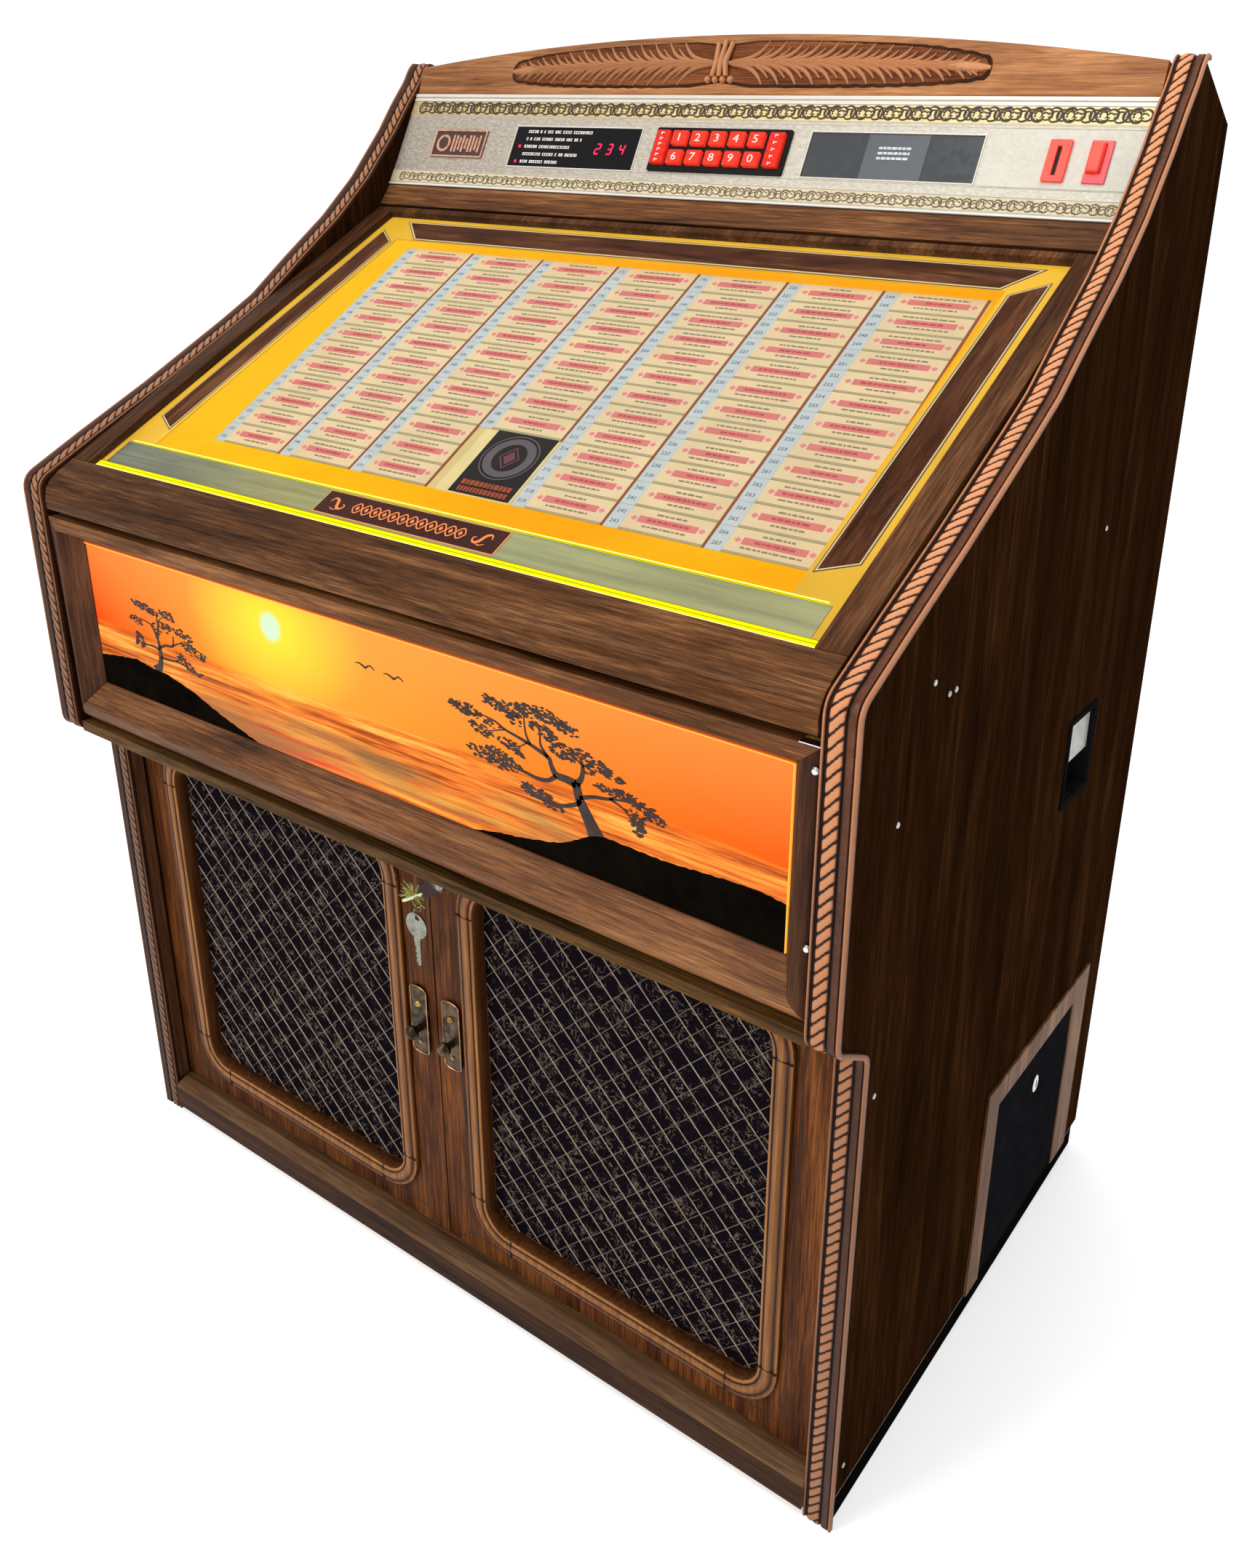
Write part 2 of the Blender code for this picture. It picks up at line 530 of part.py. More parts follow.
# ------------------------------------------------------------------- speakers
flat("speaker_baffle", [rect(-0.4600, 0.4600, 0.0455, 0.5500), circle(-0.235, 0.300, 0.1160, 36),
                        circle(0.235, 0.300, 0.1160, 36)], 0.2180, 0.2300, XZ, DARK)
for side, s in (("left", -1), ("right", 1)):
    turned("speaker_" + side,
           [(0.0, -0.028), (0.030, -0.034), (0.055, -0.026), (0.100, -0.004), (0.112, 0.002),
            (0.128, 0.002), (0.128, -0.0027), (0.1155, -0.0027), (0.1120, -0.0060), (0.065, -0.052),
            (0.062, -0.085), (0.0, -0.085)],
           24, basis((s * 0.235, -0.2330, 0.300), (1, 0, 0), (0, 0, 1)), CLOTH)

# ------------------------------------------------------------------ mechanism
deck = box("mechanism_deck", (-INN, -0.2300, 0.5780), (INN, 0.3320, 0.5840), STEEL)
boolean(deck, box("tower", (0.2550, 0.0700, 0.5800), (0.3450, 0.1300, 0.7600), STEEL), "UNION")
boolean(deck, box("arm_post", (0.3950, 0.1200, 0.5800), (0.4250, 0.1500, 0.7350), STEEL), "UNION")
MAG_X, MAG_Y, MAG_Z0, MAG_Z1 = -0.1400, 0.0450, 0.5930, 0.7680
boolean(deck, turned("spindle", [(0.0, 0.5925), (0.0300, 0.5925), (0.0300, 0.5800), (0.0, 0.5800)],
                     20, Matrix.Translation((MAG_X, MAG_Y, 0)), STEEL), "UNION")
N_REC = 40
gear = []
R_HUB, R_REC, REC_T = 0.0850, 0.2580, 0.0030
for i in range(N_REC):
    a = 2 * math.pi * (i + 0.5) / N_REC
    ca, sa = math.cos(a), math.sin(a)
    for r, t in ((R_HUB, -1), (R_REC, -1), (R_REC, 1), (R_HUB, 1)):
        h = t * REC_T / 2
        gear.append((r * ca - h * sa, r * sa + h * ca))
flat("record_magazine", [gear], MAG_Z0, MAG_Z1, Matrix.Translation((MAG_X, MAG_Y, 0)), VINYL)
TT_X, TT_Z = 0.3000, 0.6900
turned("turntable", [(0.0, 0.0330), (0.0080, 0.0330), (0.0080, 0.0200), (0.0300, 0.0200),
                     (0.0300, 0.0165), (0.0870, 0.0165), (0.0870, 0.0150), (0.0320, 0.0150),
                     (0.0320, 0.0006), (0.0, 0.0006)], 32,
       basis((TT_X, 0.0700, TT_Z), (1, 0, 0), (0, 0, 1)), VINYL)
# Tonearm: pivot block on the deck side of the tower with an arm over the disc.
ta = box("tonearm", (-0.0060, -0.0790, -0.0050), (0.0060, 0.0047, 0.0050), STEEL,
         Matrix.Translation((0.4100, 0.1150, 0.7200)))
tb1 = box("arm_tube", (-0.1000, -0.0790, -0.0030), (0.0040, -0.0730, 0.0030), STEEL,
          Matrix.Translation((0.4100, 0.1150, 0.7200)))
boolean(ta, tb1, "UNION")
box("amplifier", (-0.2000, 0.1500, 0.0455), (0.1500, 0.3200, 0.1400), STEEL)
box("mains_inlet", (-0.4197, 0.3200, 0.1003), (-0.3803, 0.3440, 0.1297), BLACK)

# ------------------------------------------------- cash compartment, right side
flat("cash_door_frame",
     [[(-0.0030, 0.0305), (CASH_Y0, 0.0305), (CASH_Y0, CASH_Z1), (CASH_Y1, CASH_Z1),
       (CASH_Y1, 0.0305), (0.2930, 0.0305), (0.2930, 0.3000), (-0.0030, 0.3000)]],
     PANEL_X + GAP, 0.5073, YZ, WALNUT)
CASH_AX = (0.5055, 0.0355)
cf = Matrix.Translation((CASH_AX[0], (CASH_Y0 + CASH_Y1) / 2, CASH_AX[1]))
half = (CASH_Y1 - CASH_Y0) / 2 - 0.0005
box("cash_door", (-0.0165, -half, -0.0005), (0.0005, half, CASH_Z1 - CASH_AX[1] - 0.0005), BLACK, cf)
tin = box("cash_box", (0.2500, 0.0400, 0.0455), (0.4700, 0.2350, 0.1900), STEEL)
boolean(tin, box("cash_box_inside", (0.2520, 0.0420, 0.0475), (0.4680, 0.2330, 0.2000), STEEL), "DIFFERENCE")

# Coin return: a cup let into the right panel, with a hanging flap.
cup = box("coin_return_cup", (0.4600, CUP_Y0 - 0.0017, CUP_Z0 - 0.0017),
          (0.5050, CUP_Y1 + 0.0017, CUP_Z1 + 0.0017), BLACK)
boolean(cup, box("cup_flange", (PANEL_X + GAP, CUP_Y0 - 0.0060, CUP_Z0 - 0.0060),
                 (0.5058, CUP_Y1 + 0.0060, CUP_Z1 + 0.0060), BLACK), "UNION")
boolean(cup, box("cup_inside", (0.4620, CUP_Y0, CUP_Z0), (0.5100, CUP_Y1, CUP_Z1), BLACK), "DIFFERENCE")
FLAP_AX = (0.5003, CUP_Z1 - 0.0030)
box("coin_return_flap", (-0.0008, -0.0320, -0.0430), (0.0008, 0.0320, 0.0010), STEEL,
    Matrix.Translation((FLAP_AX[0], (CUP_Y0 + CUP_Y1) / 2, FLAP_AX[1])))


# ---------------------------------------------------------- pivots (no solids)
def pivot(name, location, children):
    """Empty on a joint axis that carries the pieces which turn about it."""
    e = bpy.data.objects.new(name, None)
    e.location = location
    e.empty_display_size = 0.03
    model.objects.link(e)
    bpy.context.view_layer.update()
    for child in children:
        c = bpy.data.objects[child]
        mw = c.matrix_world.copy()
        c.parent = e
        c.matrix_parent_inverse = e.matrix_world.inverted()
        c.matrix_world = mw


pivot("lid_pivot", (0, *LID_AXIS), ["lid_frame", "lid_front_rail", "lid_glass", "title_board"])
pivot("stay_axis", (0.4762, *PIVOT), ["lid_stay_arm"])
pivot("door_left_pivot", (-HINGE_X, HINGE_Y, 0.05), ["door_left", "grille_left", "pull_left"])
pivot("door_right_pivot", (HINGE_X, HINGE_Y, 0.05), ["door_right", "grille_right", "pull_right"])
pivot("magazine_pivot", (MAG_X, MAG_Y, MAG_Z0), ["record_magazine"])
bpy.context.view_layer.update()
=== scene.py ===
import json
import math
import random

import bmesh
import bpy
from mathutils import Matrix, Vector

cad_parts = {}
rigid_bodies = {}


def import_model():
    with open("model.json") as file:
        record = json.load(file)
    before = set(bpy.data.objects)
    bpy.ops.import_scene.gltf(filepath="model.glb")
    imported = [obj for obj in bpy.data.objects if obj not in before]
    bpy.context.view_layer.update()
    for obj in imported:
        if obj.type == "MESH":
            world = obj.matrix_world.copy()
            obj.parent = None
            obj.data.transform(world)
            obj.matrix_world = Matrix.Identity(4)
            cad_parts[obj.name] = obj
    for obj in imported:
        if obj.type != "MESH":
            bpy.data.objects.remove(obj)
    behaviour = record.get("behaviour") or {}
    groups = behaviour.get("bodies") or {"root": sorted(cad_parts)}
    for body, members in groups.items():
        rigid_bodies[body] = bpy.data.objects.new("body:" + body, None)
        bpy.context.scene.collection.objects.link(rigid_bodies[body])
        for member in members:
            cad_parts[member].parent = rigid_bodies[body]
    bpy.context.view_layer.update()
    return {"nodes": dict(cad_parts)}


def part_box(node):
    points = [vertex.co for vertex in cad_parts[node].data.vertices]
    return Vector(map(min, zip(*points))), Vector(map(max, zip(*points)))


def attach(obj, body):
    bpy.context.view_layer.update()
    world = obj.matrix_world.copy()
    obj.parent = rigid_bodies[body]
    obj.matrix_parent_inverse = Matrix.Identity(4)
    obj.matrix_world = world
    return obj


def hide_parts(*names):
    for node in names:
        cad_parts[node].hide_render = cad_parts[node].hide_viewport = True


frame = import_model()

NODES = frame["nodes"]
scene = bpy.context.scene
for o in list(bpy.data.objects):
    if o.name in ("Cube", "Light", "Camera"):
        bpy.data.objects.remove(o, do_unlink=True)
rng = random.Random(7)
I4 = Matrix.Identity(4)

# ------------------------------------------------------------------ camera
R = Matrix.Rotation(
    Vector((1.8633, 0.5845, -0.3541)).length, 3, Vector((1.8633, 0.5845, -0.3541)).normalized()
)
right, down, fwd = R[0], R[1], R[2]
cam_data = bpy.data.cameras.new("view")
cam = bpy.data.objects.new("view", cam_data)
scene.collection.objects.link(cam)
m = Matrix((right, -down, -fwd)).transposed().to_4x4()
m.translation = Vector((0.8703, -1.0441, 1.1784))
cam.matrix_world = m
cam_data.sensor_width = 36
cam_data.sensor_fit = "AUTO"
cam_data.lens = 29.61
cam_data.shift_x = -0.0808
cam_data.shift_y = -0.0788
cam_data.clip_start = 0.02
cam_data.clip_end = 50
scene.camera = cam
scene.view_settings.view_transform = "Standard"


# --------------------------------------------------------------- materials
def srgb(h):
    """Hex colour to linear RGB."""
    out = []
    for i in (0, 2, 4):
        c = int(h[i : i + 2], 16) / 255
        out.append(c / 12.92 if c <= 0.04045 else ((c + 0.055) / 1.055) ** 2.4)
    return (*out, 1.0)


class Mat:
    """Small helper that wires one procedural material."""

    def __init__(self, name, rough=0.5, metal=0.0, **sockets):
        self.m = bpy.data.materials.new(name)
        self.m.use_nodes = True
        self.nt = self.m.node_tree
        self.b = self.nt.nodes["Principled BSDF"]
        self.b.inputs["Roughness"].default_value = rough
        self.b.inputs["Metallic"].default_value = metal
        for k, v in sockets.items():
            self.b.inputs[k.replace("_", " ")].default_value = v
        self.tc = None
        self.turn = None

    def n(self, kind, inputs=None, **attrs):
        node = self.nt.nodes.new("ShaderNode" + kind)
        for k, v in attrs.items():
            setattr(node, k, v)
        for k, v in (inputs or {}).items():
            s = node.inputs[k]
            if isinstance(v, bpy.types.NodeSocket):
                self.nt.links.new(v, s)
            else:
                s.default_value = v
        return node

    def coords(self, scale=(1, 1, 1), rot=(0, 0, 0), loc=(0, 0, 0)):
        if self.tc is None:
            self.tc = self.n("TexCoord").outputs["Object"]
            if self.turn is not None:
                self.tc = self.n("Mapping", {"Vector": self.tc, "Rotation": self.turn}).outputs["Vector"]
        mp = self.n("Mapping", {"Vector": self.tc, "Scale": scale, "Rotation": rot, "Location": loc})
        return mp.outputs["Vector"]

    def noise(self, vec, scale, detail=4, rough=0.55, dist=0.0):
        return self.n(
            "TexNoise",
            {"Vector": vec, "Scale": scale, "Detail": detail, "Roughness": rough, "Distortion": dist},
        ).outputs["Fac"]

    def ramp(self, fac, stops, interp="LINEAR"):
        r = self.n("ValToRGB", {"Fac": fac})
        r.color_ramp.interpolation = interp
        e = r.color_ramp.elements
        e[0].position, e[0].color = stops[0]
        e[1].position, e[1].color = stops[-1]
        for p, c in stops[1:-1]:
            x = e.new(p)
            x.color = c
        return r.outputs["Color"]

    def mix(self, fac, a, b, mode="MIX"):
        r = self.n("Mix", data_type="RGBA", blend_type=mode)
        r.clamp_factor = True
        for s, v in ((r.inputs[0], fac), (r.inputs[6], a), (r.inputs[7], b)):
            if isinstance(v, bpy.types.NodeSocket):
                self.nt.links.new(v, s)
            else:
                s.default_value = v
        return r.outputs[2]

    def math(self, op, a, b=0.0, c=None, clamp=False):
        r = self.n("Math", operation=op)
        r.use_clamp = clamp
        for s, v in zip(r.inputs, (a, b, c)):
            if v is None:
                continue
            if isinstance(v, bpy.types.NodeSocket):
                self.nt.links.new(v, s)
            else:
                s.default_value = v
        return r.outputs[0]

    def link(self, socket, name):
        self.nt.links.new(socket, self.b.inputs[name])

    def bump(self, height, strength=0.2, distance=0.0005, after=None):
        b = self.n("Bump", {"Height": height, "Strength": strength, "Distance": distance})
        if after is not None:
            self.nt.links.new(after, b.inputs["Normal"])
        self.nt.links.new(b.outputs["Normal"], self.b.inputs["Normal"])
        return b.outputs["Normal"]


def axis_scale(axis, along, across):
    return tuple(along if a == axis else across for a in "xyz")


def wood(name, dark, mid, light, axis="x", rough=0.45, pores=0.5, k=1.0, coat=0.15, seed=0.0, bump=0.25,
         turn=None, dim=0.95, spec=0.10, light_fade=None):
    """Open-grained timber or wood-print laminate, grain running along axis."""
    w = Mat(name, rough, Coat_Weight=coat * 0.15, Coat_Roughness=0.3, Specular_IOR_Level=spec)
    w.turn = turn
    loc = (seed * 1.7, seed * 0.9, seed * 2.3)
    broad = w.noise(w.coords(axis_scale(axis, 0.8 * k, 7 * k), loc=loc), 3.0, 5, 0.6, 0.8)
    streak = w.noise(w.coords(axis_scale(axis, 2.2 * k, 60 * k), loc=loc), 4.0, 6, 0.65, 0.3)
    fine = w.noise(w.coords(axis_scale(axis, 9 * k, 320 * k), loc=loc), 3.0, 3, 0.6)
    s = w.math("ADD", w.math("MULTIPLY", broad, 0.55), w.math("MULTIPLY", streak, 0.45))
    col = w.ramp(s, [(0.36, srgb(dark)), (0.50, srgb(mid)), (0.64, srgb(light))])
    pore = w.ramp(fine, [(0.40, (0.25, 0.25, 0.25, 1)), (0.55, (1, 1, 1, 1))])
    col = w.mix(pores, col, pore, "MULTIPLY")
    col = w.mix(1.0, col, (dim, dim * 0.78, dim * 0.50, 1), "MULTIPLY")
    if light_fade:
        # Painted light: darker at the left end and paler at the right, as the light falls across the front.
        fx = w.n("SeparateXYZ", {"Vector": w.coords()}).outputs["X"]
        painted_light_mul = w.n("MapRange", {"Value": fx, "From Min": -0.48, "From Max": 0.48, "To Min": light_fade[0], "To Max": light_fade[1]}).outputs[0]
        col = w.mix(1.0, col, w.n("CombineColor", {"Red": painted_light_mul, "Green": painted_light_mul, "Blue": painted_light_mul}).outputs[0], "MULTIPLY")
    w.link(col, "Base Color")
    rr = w.n("MapRange", {"Value": fine, "To Min": min(0.95, rough + 0.18), "To Max": max(0.1, rough - 0.06)})
    w.link(rr.outputs[0], "Roughness")
    h = w.math("ADD", w.math("MULTIPLY", streak, 0.5), fine)
    w.bump(h, bump, 0.0006)
    return w.m


def speckled(name, colour, other, scale=120.0, rough=0.5, metal=0.0, amount=0.5, bump=0.1, dist=0.0003,
             stretch=(1, 1, 1), **sockets):
    """A moulded, painted or metal surface with fine mottling and a little wear."""
    w = Mat(name, rough, metal, **sockets)
    v = w.coords(stretch)
    a = w.noise(v, scale, 4, 0.6)
    b = w.noise(w.coords(stretch), scale * 0.08, 3, 0.5)
    f = w.math("ADD", w.math("MULTIPLY", a, 0.6), w.math("MULTIPLY", b, 0.4))
    col = w.ramp(f, [(0.5 - 0.22 / max(amount, 0.05) * 0.5, srgb(other)), (0.5 + 0.1, srgb(colour))])
    w.link(col, "Base Color")
    rr = w.n("MapRange", {"Value": a, "From Min": 0.3, "From Max": 0.7, "To Min": min(1, rough + 0.1),
                          "To Max": max(0.03, rough - 0.08)})
    w.link(rr.outputs[0], "Roughness")
    if bump:
        w.bump(a, bump, dist)
    return w.m


def glow(name, colour, strength, rough=0.4, vary=0.08, scale=40.0, spec=0.12, base=0.5):
    """Back-lit plastic: coloured, slightly uneven, and giving off light."""
    w = Mat(name, rough, Specular_IOR_Level=spec)
    a = w.noise(w.coords(), scale, 3, 0.5)
    c = srgb(colour)
    dim = tuple(x * (1 - vary) for x in c[:3]) + (1,)
    col = w.ramp(a, [(0.35, dim), (0.65, c)])
    w.link(w.mix(1.0, col, (base, base, base, 1), "MULTIPLY"), "Base Color")
    w.link(col, "Emission Color")
    w.b.inputs["Emission Strength"].default_value = strength
    return w.m


WALNUT_X = wood("walnut_across", "32200f", "664630", "9a7657", "x", 0.46, 0.55, 1.2, seed=1, light_fade=(0.85, 1.30))
WALNUT_Z = wood("walnut_upright", "2a180f", "4c3226", "6d4f3e", "z", 0.48, 0.45, 1.2, seed=2)
RAIL_X = wood("lid_rail_wood", "2e1c0e", "5d412c", "8d6d54", "x", 0.46, 0.65, 1.4, 0.1, seed=3, spec=0.06, light_fade=(0.66, 1.34))
SIDE = wood("side_laminate", "1a1009", "291a11", "3f2c1e", "z", 0.7, 0.5, 1.0, 0.0, seed=4, dim=0.95, spec=0.0)
SIDE_IN = wood("side_inner", "2c1b14", "4e362a", "6a4c3b", "z", 0.5, 0.4, 1.0, 0.05, seed=5)
OAK_Z = wood("oak_upright", "43200f", "794523", "9f6535", "z", 0.42, 0.55, 1.3, 0.2, seed=6)
OAK_X = wood("oak_across", "43200f", "703d20", "935a30", "x", 0.42, 0.55, 1.3, 0.2, seed=7)
CREST = wood("crest_wood", "6b4530", "a87c5e", "d2aa8c", "x", 0.42, 0.35, 1.0, 0.3, seed=8, dim=0.90, light_fade=(0.74, 1.12))
LEDGE = wood("ledge_wood", "49362a", "6b5544", "8c7563", "x", 0.55, 0.4, 1.3, seed=9, dim=0.8)
FRAME_OAK = wood("cash_frame_wood", "3f2717", "705039", "a3866e", "z", 0.45, 0.4, 1.3, seed=10, dim=0.8)
BOARD = wood("fibreboard", "33241b", "473328", "5c4535", "x", 0.85, 0.2, 0.5, 0.0, seed=11)


def trim_material(name, low, high, rough, left=0.6):
    """Moulded plastic: antiqued dark in the hollows with painted shade there too, and lighter on the crests as a
    painted highlight.
    """
    w = Mat(name, rough, Coat_Weight=0.03, Coat_Roughness=0.2, Specular_IOR_Level=0.12)
    att = w.n("Attribute", attribute_name="cav").outputs["Fac"]
    a = w.noise(w.coords(), 260, 4, 0.65)
    b = w.noise(w.coords(), 14, 3, 0.5)
    f = w.math("ADD", att, w.math("MULTIPLY", w.math("SUBTRACT", a, 0.5), 0.35))
    f = w.math("ADD", f, w.math("MULTIPLY", w.math("SUBTRACT", b, 0.5), 0.25))
    col = w.ramp(f, [(0.20, srgb("24120a")), (0.45, srgb(low)), (0.80, srgb(high))])
    # Painted shade: darker towards the left end, down to the factor left at x -0.45, and darker towards the bottom
    # below z 0.95.
    sp = w.n("SeparateXYZ", {"Vector": w.coords()}).outputs
    painted_light_mul = w.n("MapRange", {"Value": sp["X"], "From Min": -0.45, "From Max": 0.3, "To Min": left, "To Max": 1.0}).outputs[0]
    shade_z_mul = w.n("MapRange", {"Value": sp["Z"], "From Min": 0.45, "From Max": 0.95, "To Min": 0.52, "To Max": 1.0}).outputs[0]
    painted_light_mul = w.math("MULTIPLY", painted_light_mul, shade_z_mul)
    col = w.mix(1.0, col, w.n("CombineColor", {"Red": painted_light_mul, "Green": painted_light_mul, "Blue": painted_light_mul}).outputs[0], "MULTIPLY")
    w.link(col, "Base Color")
    w.bump(a, 0.12, 0.0003)
    return w.m


ROPE = trim_material("rope_moulding", "8a4f2e", "d08e62", 0.42, 0.5)
RIM = trim_material("trim_moulding", "663a22", "b87a54", 0.38, 0.5)
w = Mat("fascia_metal", 0.45, 0.1, Specular_IOR_Level=0.2)
fx = w.n("SeparateXYZ", {"Vector": w.coords()}).outputs["X"]
fu = w.n("MapRange", {"Value": fx, "From Min": -0.476, "From Max": 0.476}).outputs[0]
# Painted light: darker at the left end, paler to the right.
fc = w.ramp(fu, [(0.0, srgb("776a5d")), (0.3, srgb("978c7e")), (0.6, srgb("b4ac9d")), (1.0, srgb("c6c1b1"))])
fn = w.noise(w.coords((0.5, 1, 1)), 420, 4, 0.6)
fc = w.mix(0.35, fc, w.mix(w.ramp(fn, [(0.35, (0, 0, 0, 1)), (0.65, (1, 1, 1, 1))]), srgb("8e887c"), srgb("d8d4c8")))
w.link(fc, "Base Color")
w.bump(fn, 0.08, 0.0002)
FASCIA = w.m
FASCIA_EDGE = speckled("fascia_bright_edge", "d8d3c9", "b5afa4", 200, 0.28, 0.25, 0.4, 0.05, 0.0002, (0.1, 1, 1))
GOLD = speckled("gold_band", "e4c489", "c59f5c", 300, 0.4, 0.25, 0.5, 0.1)
GOLD_DARK = speckled("scroll_print", "5d4a28", "3a2c18", 500, 0.5, 0.2, 0.5, 0.1)
BLACK = speckled("black_plastic", "100f0f", "070606", 220, 0.45, 0, 0.5, 0.1, Specular_IOR_Level=0.1)
BLACK_GLOSS = speckled("black_acrylic", "0a090c", "050508", 30, 0.12, 0, 0.5, 0.0, Specular_IOR_Level=0.2)
INFO = speckled("smoked_acrylic", "3b3e41", "2c2f31", 90, 0.18, 0, 0.5, 0.02)
BLACK_METAL = speckled("black_crackle", "18181a", "0c0c0e", 420, 0.85, 0.0, 0.6, 0.4, 0.0005, Specular_IOR_Level=0.0)
# The soffit board's dark olive wood is painted shade, so it reads as the door's shaded top rail.
SOFFIT = wood("soffit_shade_wood", "2b2010", "54422a", "7a623c", "x", 0.5, 0.5, 1.2, 0.0, seed=12, spec=0.05)
STEEL = speckled("zinc_steel", "b9bbbb", "85888a", 160, 0.32, 0.9, 0.5, 0.05, 0.0002, (1, 1, 0.2))
ALLOY = speckled("cast_alloy", "a2a5a6", "7c7f80", 90, 0.45, 0.8, 0.5, 0.2, 0.0004)
CHROME = speckled("bright_plate", "dfdfdd", "b5b5b3", 120, 0.14, 1.0, 0.5, 0.02)
BRONZE = speckled("antique_bronze", "6b543a", "21160e", 90, 0.38, 0.85, 0.9, 0.3, 0.0006)
BRASS = speckled("worn_brass", "b99a5c", "6d5427", 140, 0.3, 0.95, 0.7, 0.1)
RED_KEY = glow("red_key_plastic", "f2331c", 0.45, 0.32, 0.25, 160)
WHITE_MARK = glow("white_marking", "fbf3ee", 0.35, 0.4, 0.1, 90)
WHITE = speckled("white_enamel", "e6e6e0", "cfcfc8", 60, 0.5, 0, 0.5, 0.05)
VINYL = speckled("record_vinyl", "0e0e0f", "060607", 40, 0.22, 0, 0.5, 0.02)
LABEL = speckled("record_label", "b5482c", "8e3520", 160, 0.6, 0, 0.6, 0.05)
RUBBER = speckled("rubber", "1b1b1b", "101010", 300, 0.8, 0, 0.5, 0.3)
PLINTH = speckled("black_plinth", "0f0d0c", "060505", 260, 0.9, 0, 0.6, 0.5, 0.0008, Specular_IOR_Level=0.0)


# ------------------------------------------------------------ mesh builder
class Build:
    """Collects closed shapes; obj() turns them into one piece."""

    def __init__(self):
        self.v, self.f, self.c = [], [], []

    def add(self, verts, faces, m=I4, cav=1.0):
        base = len(self.v)
        self.v += [tuple(m @ Vector(p)) for p in verts]
        self.c += list(cav) if hasattr(cav, "__len__") else [cav] * len(verts)
        self.f += [tuple(base + i for i in f) for f in faces]

    def box(self, lo, hi, m=I4, cav=1.0):
        (a, b, c), (d, e, f) = lo, hi
        self.add(
            [(a, b, c), (d, b, c), (d, e, c), (a, e, c), (a, b, f), (d, b, f), (d, e, f), (a, e, f)],
            [(0, 3, 2, 1), (4, 5, 6, 7), (0, 1, 5, 4), (1, 2, 6, 5), (2, 3, 7, 6), (3, 0, 4, 7)],
            m, cav)

    def prism(self, loop, d0, d1, m=I4, cav=1.0):
        n = len(loop)
        area = sum(loop[i][0] * loop[(i + 1) % n][1] - loop[(i + 1) % n][0] * loop[i][1] for i in range(n))
        if area < 0:
            loop = loop[::-1]
        d0, d1 = min(d0, d1), max(d0, d1)
        self.add([(x, y, d0) for x, y in loop] + [(x, y, d1) for x, y in loop],
                 [tuple(range(n))[::-1], tuple(range(n, 2 * n))]
                 + [(i, (i + 1) % n, n + (i + 1) % n, n + i) for i in range(n)], m, cav)

    def loft(self, loops, m=I4, caps=True, ring=False, cav=None):
        """Loops of equal length; each loop is closed. ring joins last to first."""
        n, k = len(loops[0]), len(loops)
        verts = [p for l in loops for p in l]
        faces = []
        for a in range(k if ring else k - 1):
            b = (a + 1) % k
            for i in range(n):
                j = (i + 1) % n
                faces.append((a * n + i, a * n + j, b * n + j, b * n + i))
        if caps and not ring:
            faces.append(tuple(range(n))[::-1])
            faces.append(tuple(range((k - 1) * n, k * n)))
        self.add(verts, faces, m, cav if cav is not None else 1.0)

    def tube(self, pts, r, n=6, m=I4, cav=1.0, closed=False):
        pts = [Vector(p) for p in pts]
        rs = r if hasattr(r, "__len__") else [r] * len(pts)
        loops, up = [], None
        for i, p in enumerate(pts):
            if closed:
                a, b = pts[i - 1], pts[(i + 1) % len(pts)]
            else:
                a, b = pts[max(i - 1, 0)], pts[min(i + 1, len(pts) - 1)]
            d = (b - a).normalized()
            if up is None:
                up = Vector((0, 0, 1)) if abs(d.z) < 0.9 else Vector((0, 1, 0))
            u = (up - d * up.dot(d)).normalized()
            up = u
            v = d.cross(u)
            loops.append([p + (u * math.cos(2 * math.pi * j / n) + v * math.sin(2 * math.pi * j / n)) * rs[i]
                          for j in range(n)])
        self.loft([[tuple(q) for q in l] for l in loops], m, not closed, closed,
                  None if cav == 1.0 else [cav] * (n * len(loops)))

    def lathe(self, prof, n=32, m=I4, cav=1.0):
        """(r, z) profile from one axis point to the other."""
        verts, rows = [], []
        for r, z in prof:
            if r < 1e-7:
                rows.append([len(verts)] * n)
                verts.append((0, 0, z))
            else:
                rows.append(list(range(len(verts), len(verts) + n)))
                verts += [(r * math.cos(2 * math.pi * j / n), r * math.sin(2 * math.pi * j / n), z)
                          for j in range(n)]
        faces = []
        for a, b in zip(rows[:-1], rows[1:]):
            for j in range(n):
                q = [a[j], a[(j + 1) % n], b[(j + 1) % n], b[j]]
                q = [x for i, x in enumerate(q) if x not in q[:i]]
                if len(q) > 2:
                    faces.append(tuple(q))
        self.add(verts, faces, m, cav)

    def obj(self, name, mat, body, sharp=32, bevel=0.0, seg=2, replaces=(), slot=None, flat=False):
        me = bpy.data.meshes.new(name)
        me.from_pydata(self.v, [], self.f)
        att = me.attributes.new("cav", "FLOAT", "POINT")
        att.data.foreach_set("value", self.c)
        bm = bmesh.new()
        bm.from_mesh(me)
        bmesh.ops.recalc_face_normals(bm, faces=bm.faces)
        bm.to_mesh(me)
        bm.free()
        me.materials.append(mat)
        if not flat:
            me.shade_smooth()
            me.set_sharp_from_angle(angle=math.radians(sharp))
        o = bpy.data.objects.new(name, me)
        scene.collection.objects.link(o)
        if bevel:
            b = o.modifiers.new("edge", "BEVEL")
            b.width = bevel
            b.segments = seg
            b.limit_method = "ANGLE"
            b.angle_limit = math.radians(35)
            b.harden_normals = False
        if replaces:
            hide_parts(*replaces)
        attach(o, body)
        return o


